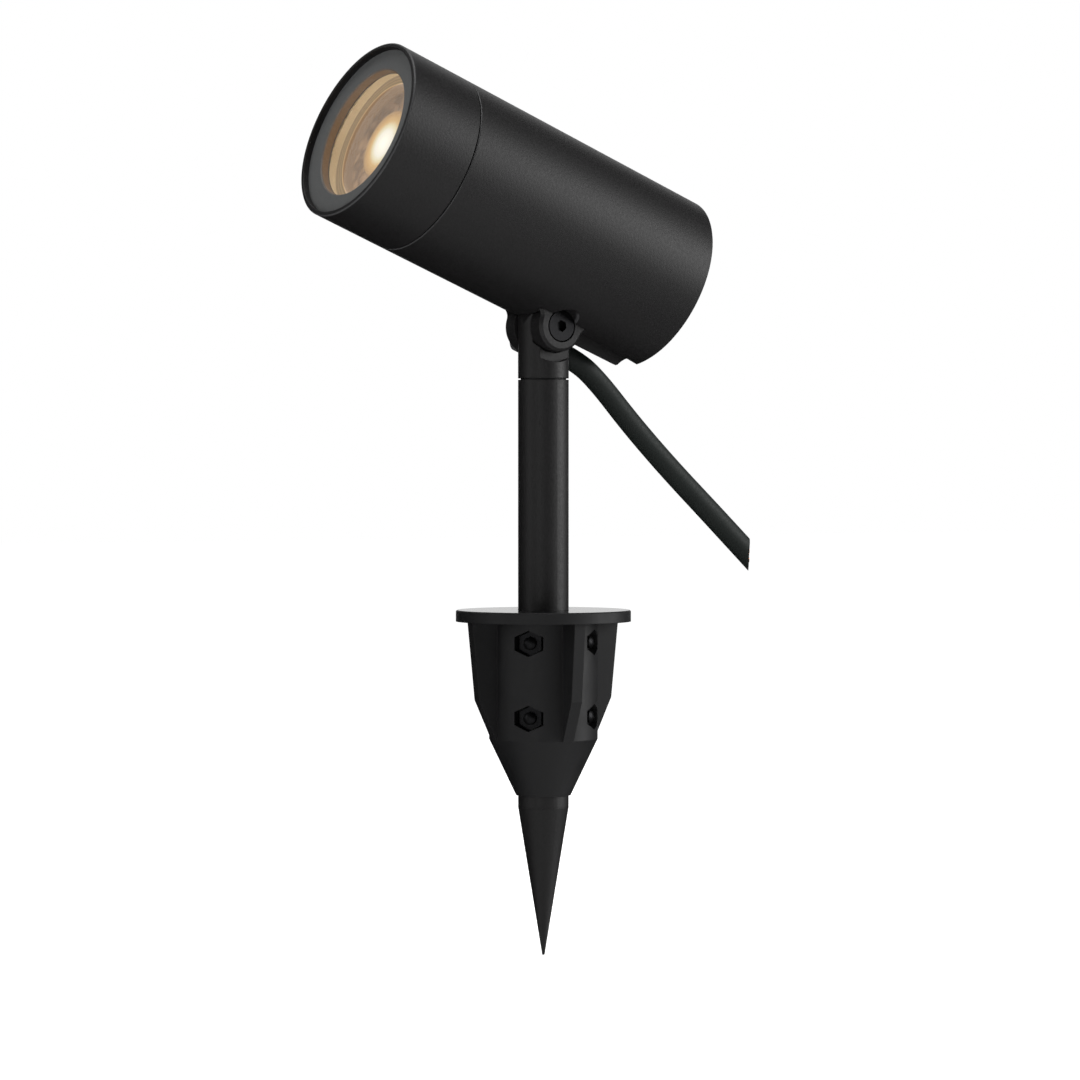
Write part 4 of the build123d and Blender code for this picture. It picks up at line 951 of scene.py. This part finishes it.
# %% Lamps
SUBJECT_MIDDLE = Vector((0, 0, 0.06))
CARD_LEVEL = -0.1688
CARD_BACK = Vector((0, 0, -1))
LAMPS = {
    "key_softbox": {"right": 1.25, "up": 0.26, "near": 0.08, "width": 0.75, "height": 0.9, "watts": 18.5},
    "left_fill": {"right": -1.0, "up": 0.2, "near": 0.45, "width": 0.6, "height": 0.9, "watts": 3.4},
    "front_fill": {"right": -0.55, "up": 0.0, "near": 1.5, "width": 0.5, "height": 0.3, "watts": 1.6},
    "rim_light": {"right": -0.58, "up": 0.74, "near": -0.38, "width": 0.35, "height": 0.35, "watts": 1.0},
    "top_light": {"right": 0.0, "up": 1.3, "near": 0.1, "width": 0.6, "height": 0.6, "watts": 8.5},
    "card_near": {"right": 0.0, "up": CARD_LEVEL, "near": 0.4, "width": 0.7, "height": 0.6, "watts": 0.9},
    "card_right": {"right": 0.3, "up": CARD_LEVEL, "near": 0.3, "width": 0.3, "height": 0.5, "watts": 0.45},
    "card_far": {"right": -0.25, "up": CARD_LEVEL, "near": 0.9, "width": 0.4, "height": 0.5, "watts": 5.0},
}
for name, lamp in LAMPS.items():
    light = bpy.data.lights.new(name, "AREA")
    light.shape = "RECTANGLE"
    light.size = lamp["width"]
    light.size_y = lamp["height"]
    light.energy = lamp["watts"]
    holder = bpy.data.objects.new(name, light)
    offset = lamp["right"] * to_right + lamp["up"] * upwards + lamp["near"] * to_camera
    holder.location = SUBJECT_MIDDLE + offset
    away = CARD_BACK if name.startswith("card") else offset
    holder.rotation_euler = away.to_track_quat("Z", "Y").to_euler()
    holder.visible_camera = False
    bpy.context.scene.collection.objects.link(holder)
print("lamps", list(LAMPS))

# %% [markdown]
# The lit optic throws its warm light on the wall of the opening in front of it. The optic's own glow is too
# weak for that in a picture with few samples, so a small round lamp just before the glass helps it. It
# rides on the head, and no camera or mirror sees it.

# %% Glow on the opening's wall
GLOW_WIDTH = 44 * MM
GLOW_WATTS = 0.011
GLOW_GAP = 0.4 * MM

glow_light = bpy.data.lights.new("optic_glow", "AREA")
glow_light.shape = "DISK"
glow_light.size = GLOW_WIDTH
glow_light.energy = GLOW_WATTS
glow_light.color = linear("#ffab33")[:3]
glow_holder = bpy.data.objects.new("optic_glow", glow_light)
glass_front = max(glass_arm.dot(lamp_axis) for glass_arm in glass_arms)
glow_holder.location = glass_middle + (glass_front + GLOW_GAP) * lamp_axis
glow_holder.rotation_euler = (-lamp_axis).to_track_quat("Z", "Y").to_euler()
for kind_of_ray in ("camera", "glossy", "transmission"):
    setattr(glow_holder, f"visible_{kind_of_ray}", False)
bpy.context.scene.collection.objects.link(glow_holder)
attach(glow_holder, "head")
print("glow lamp before the glass by", round(glass_front + GLOW_GAP, 5))
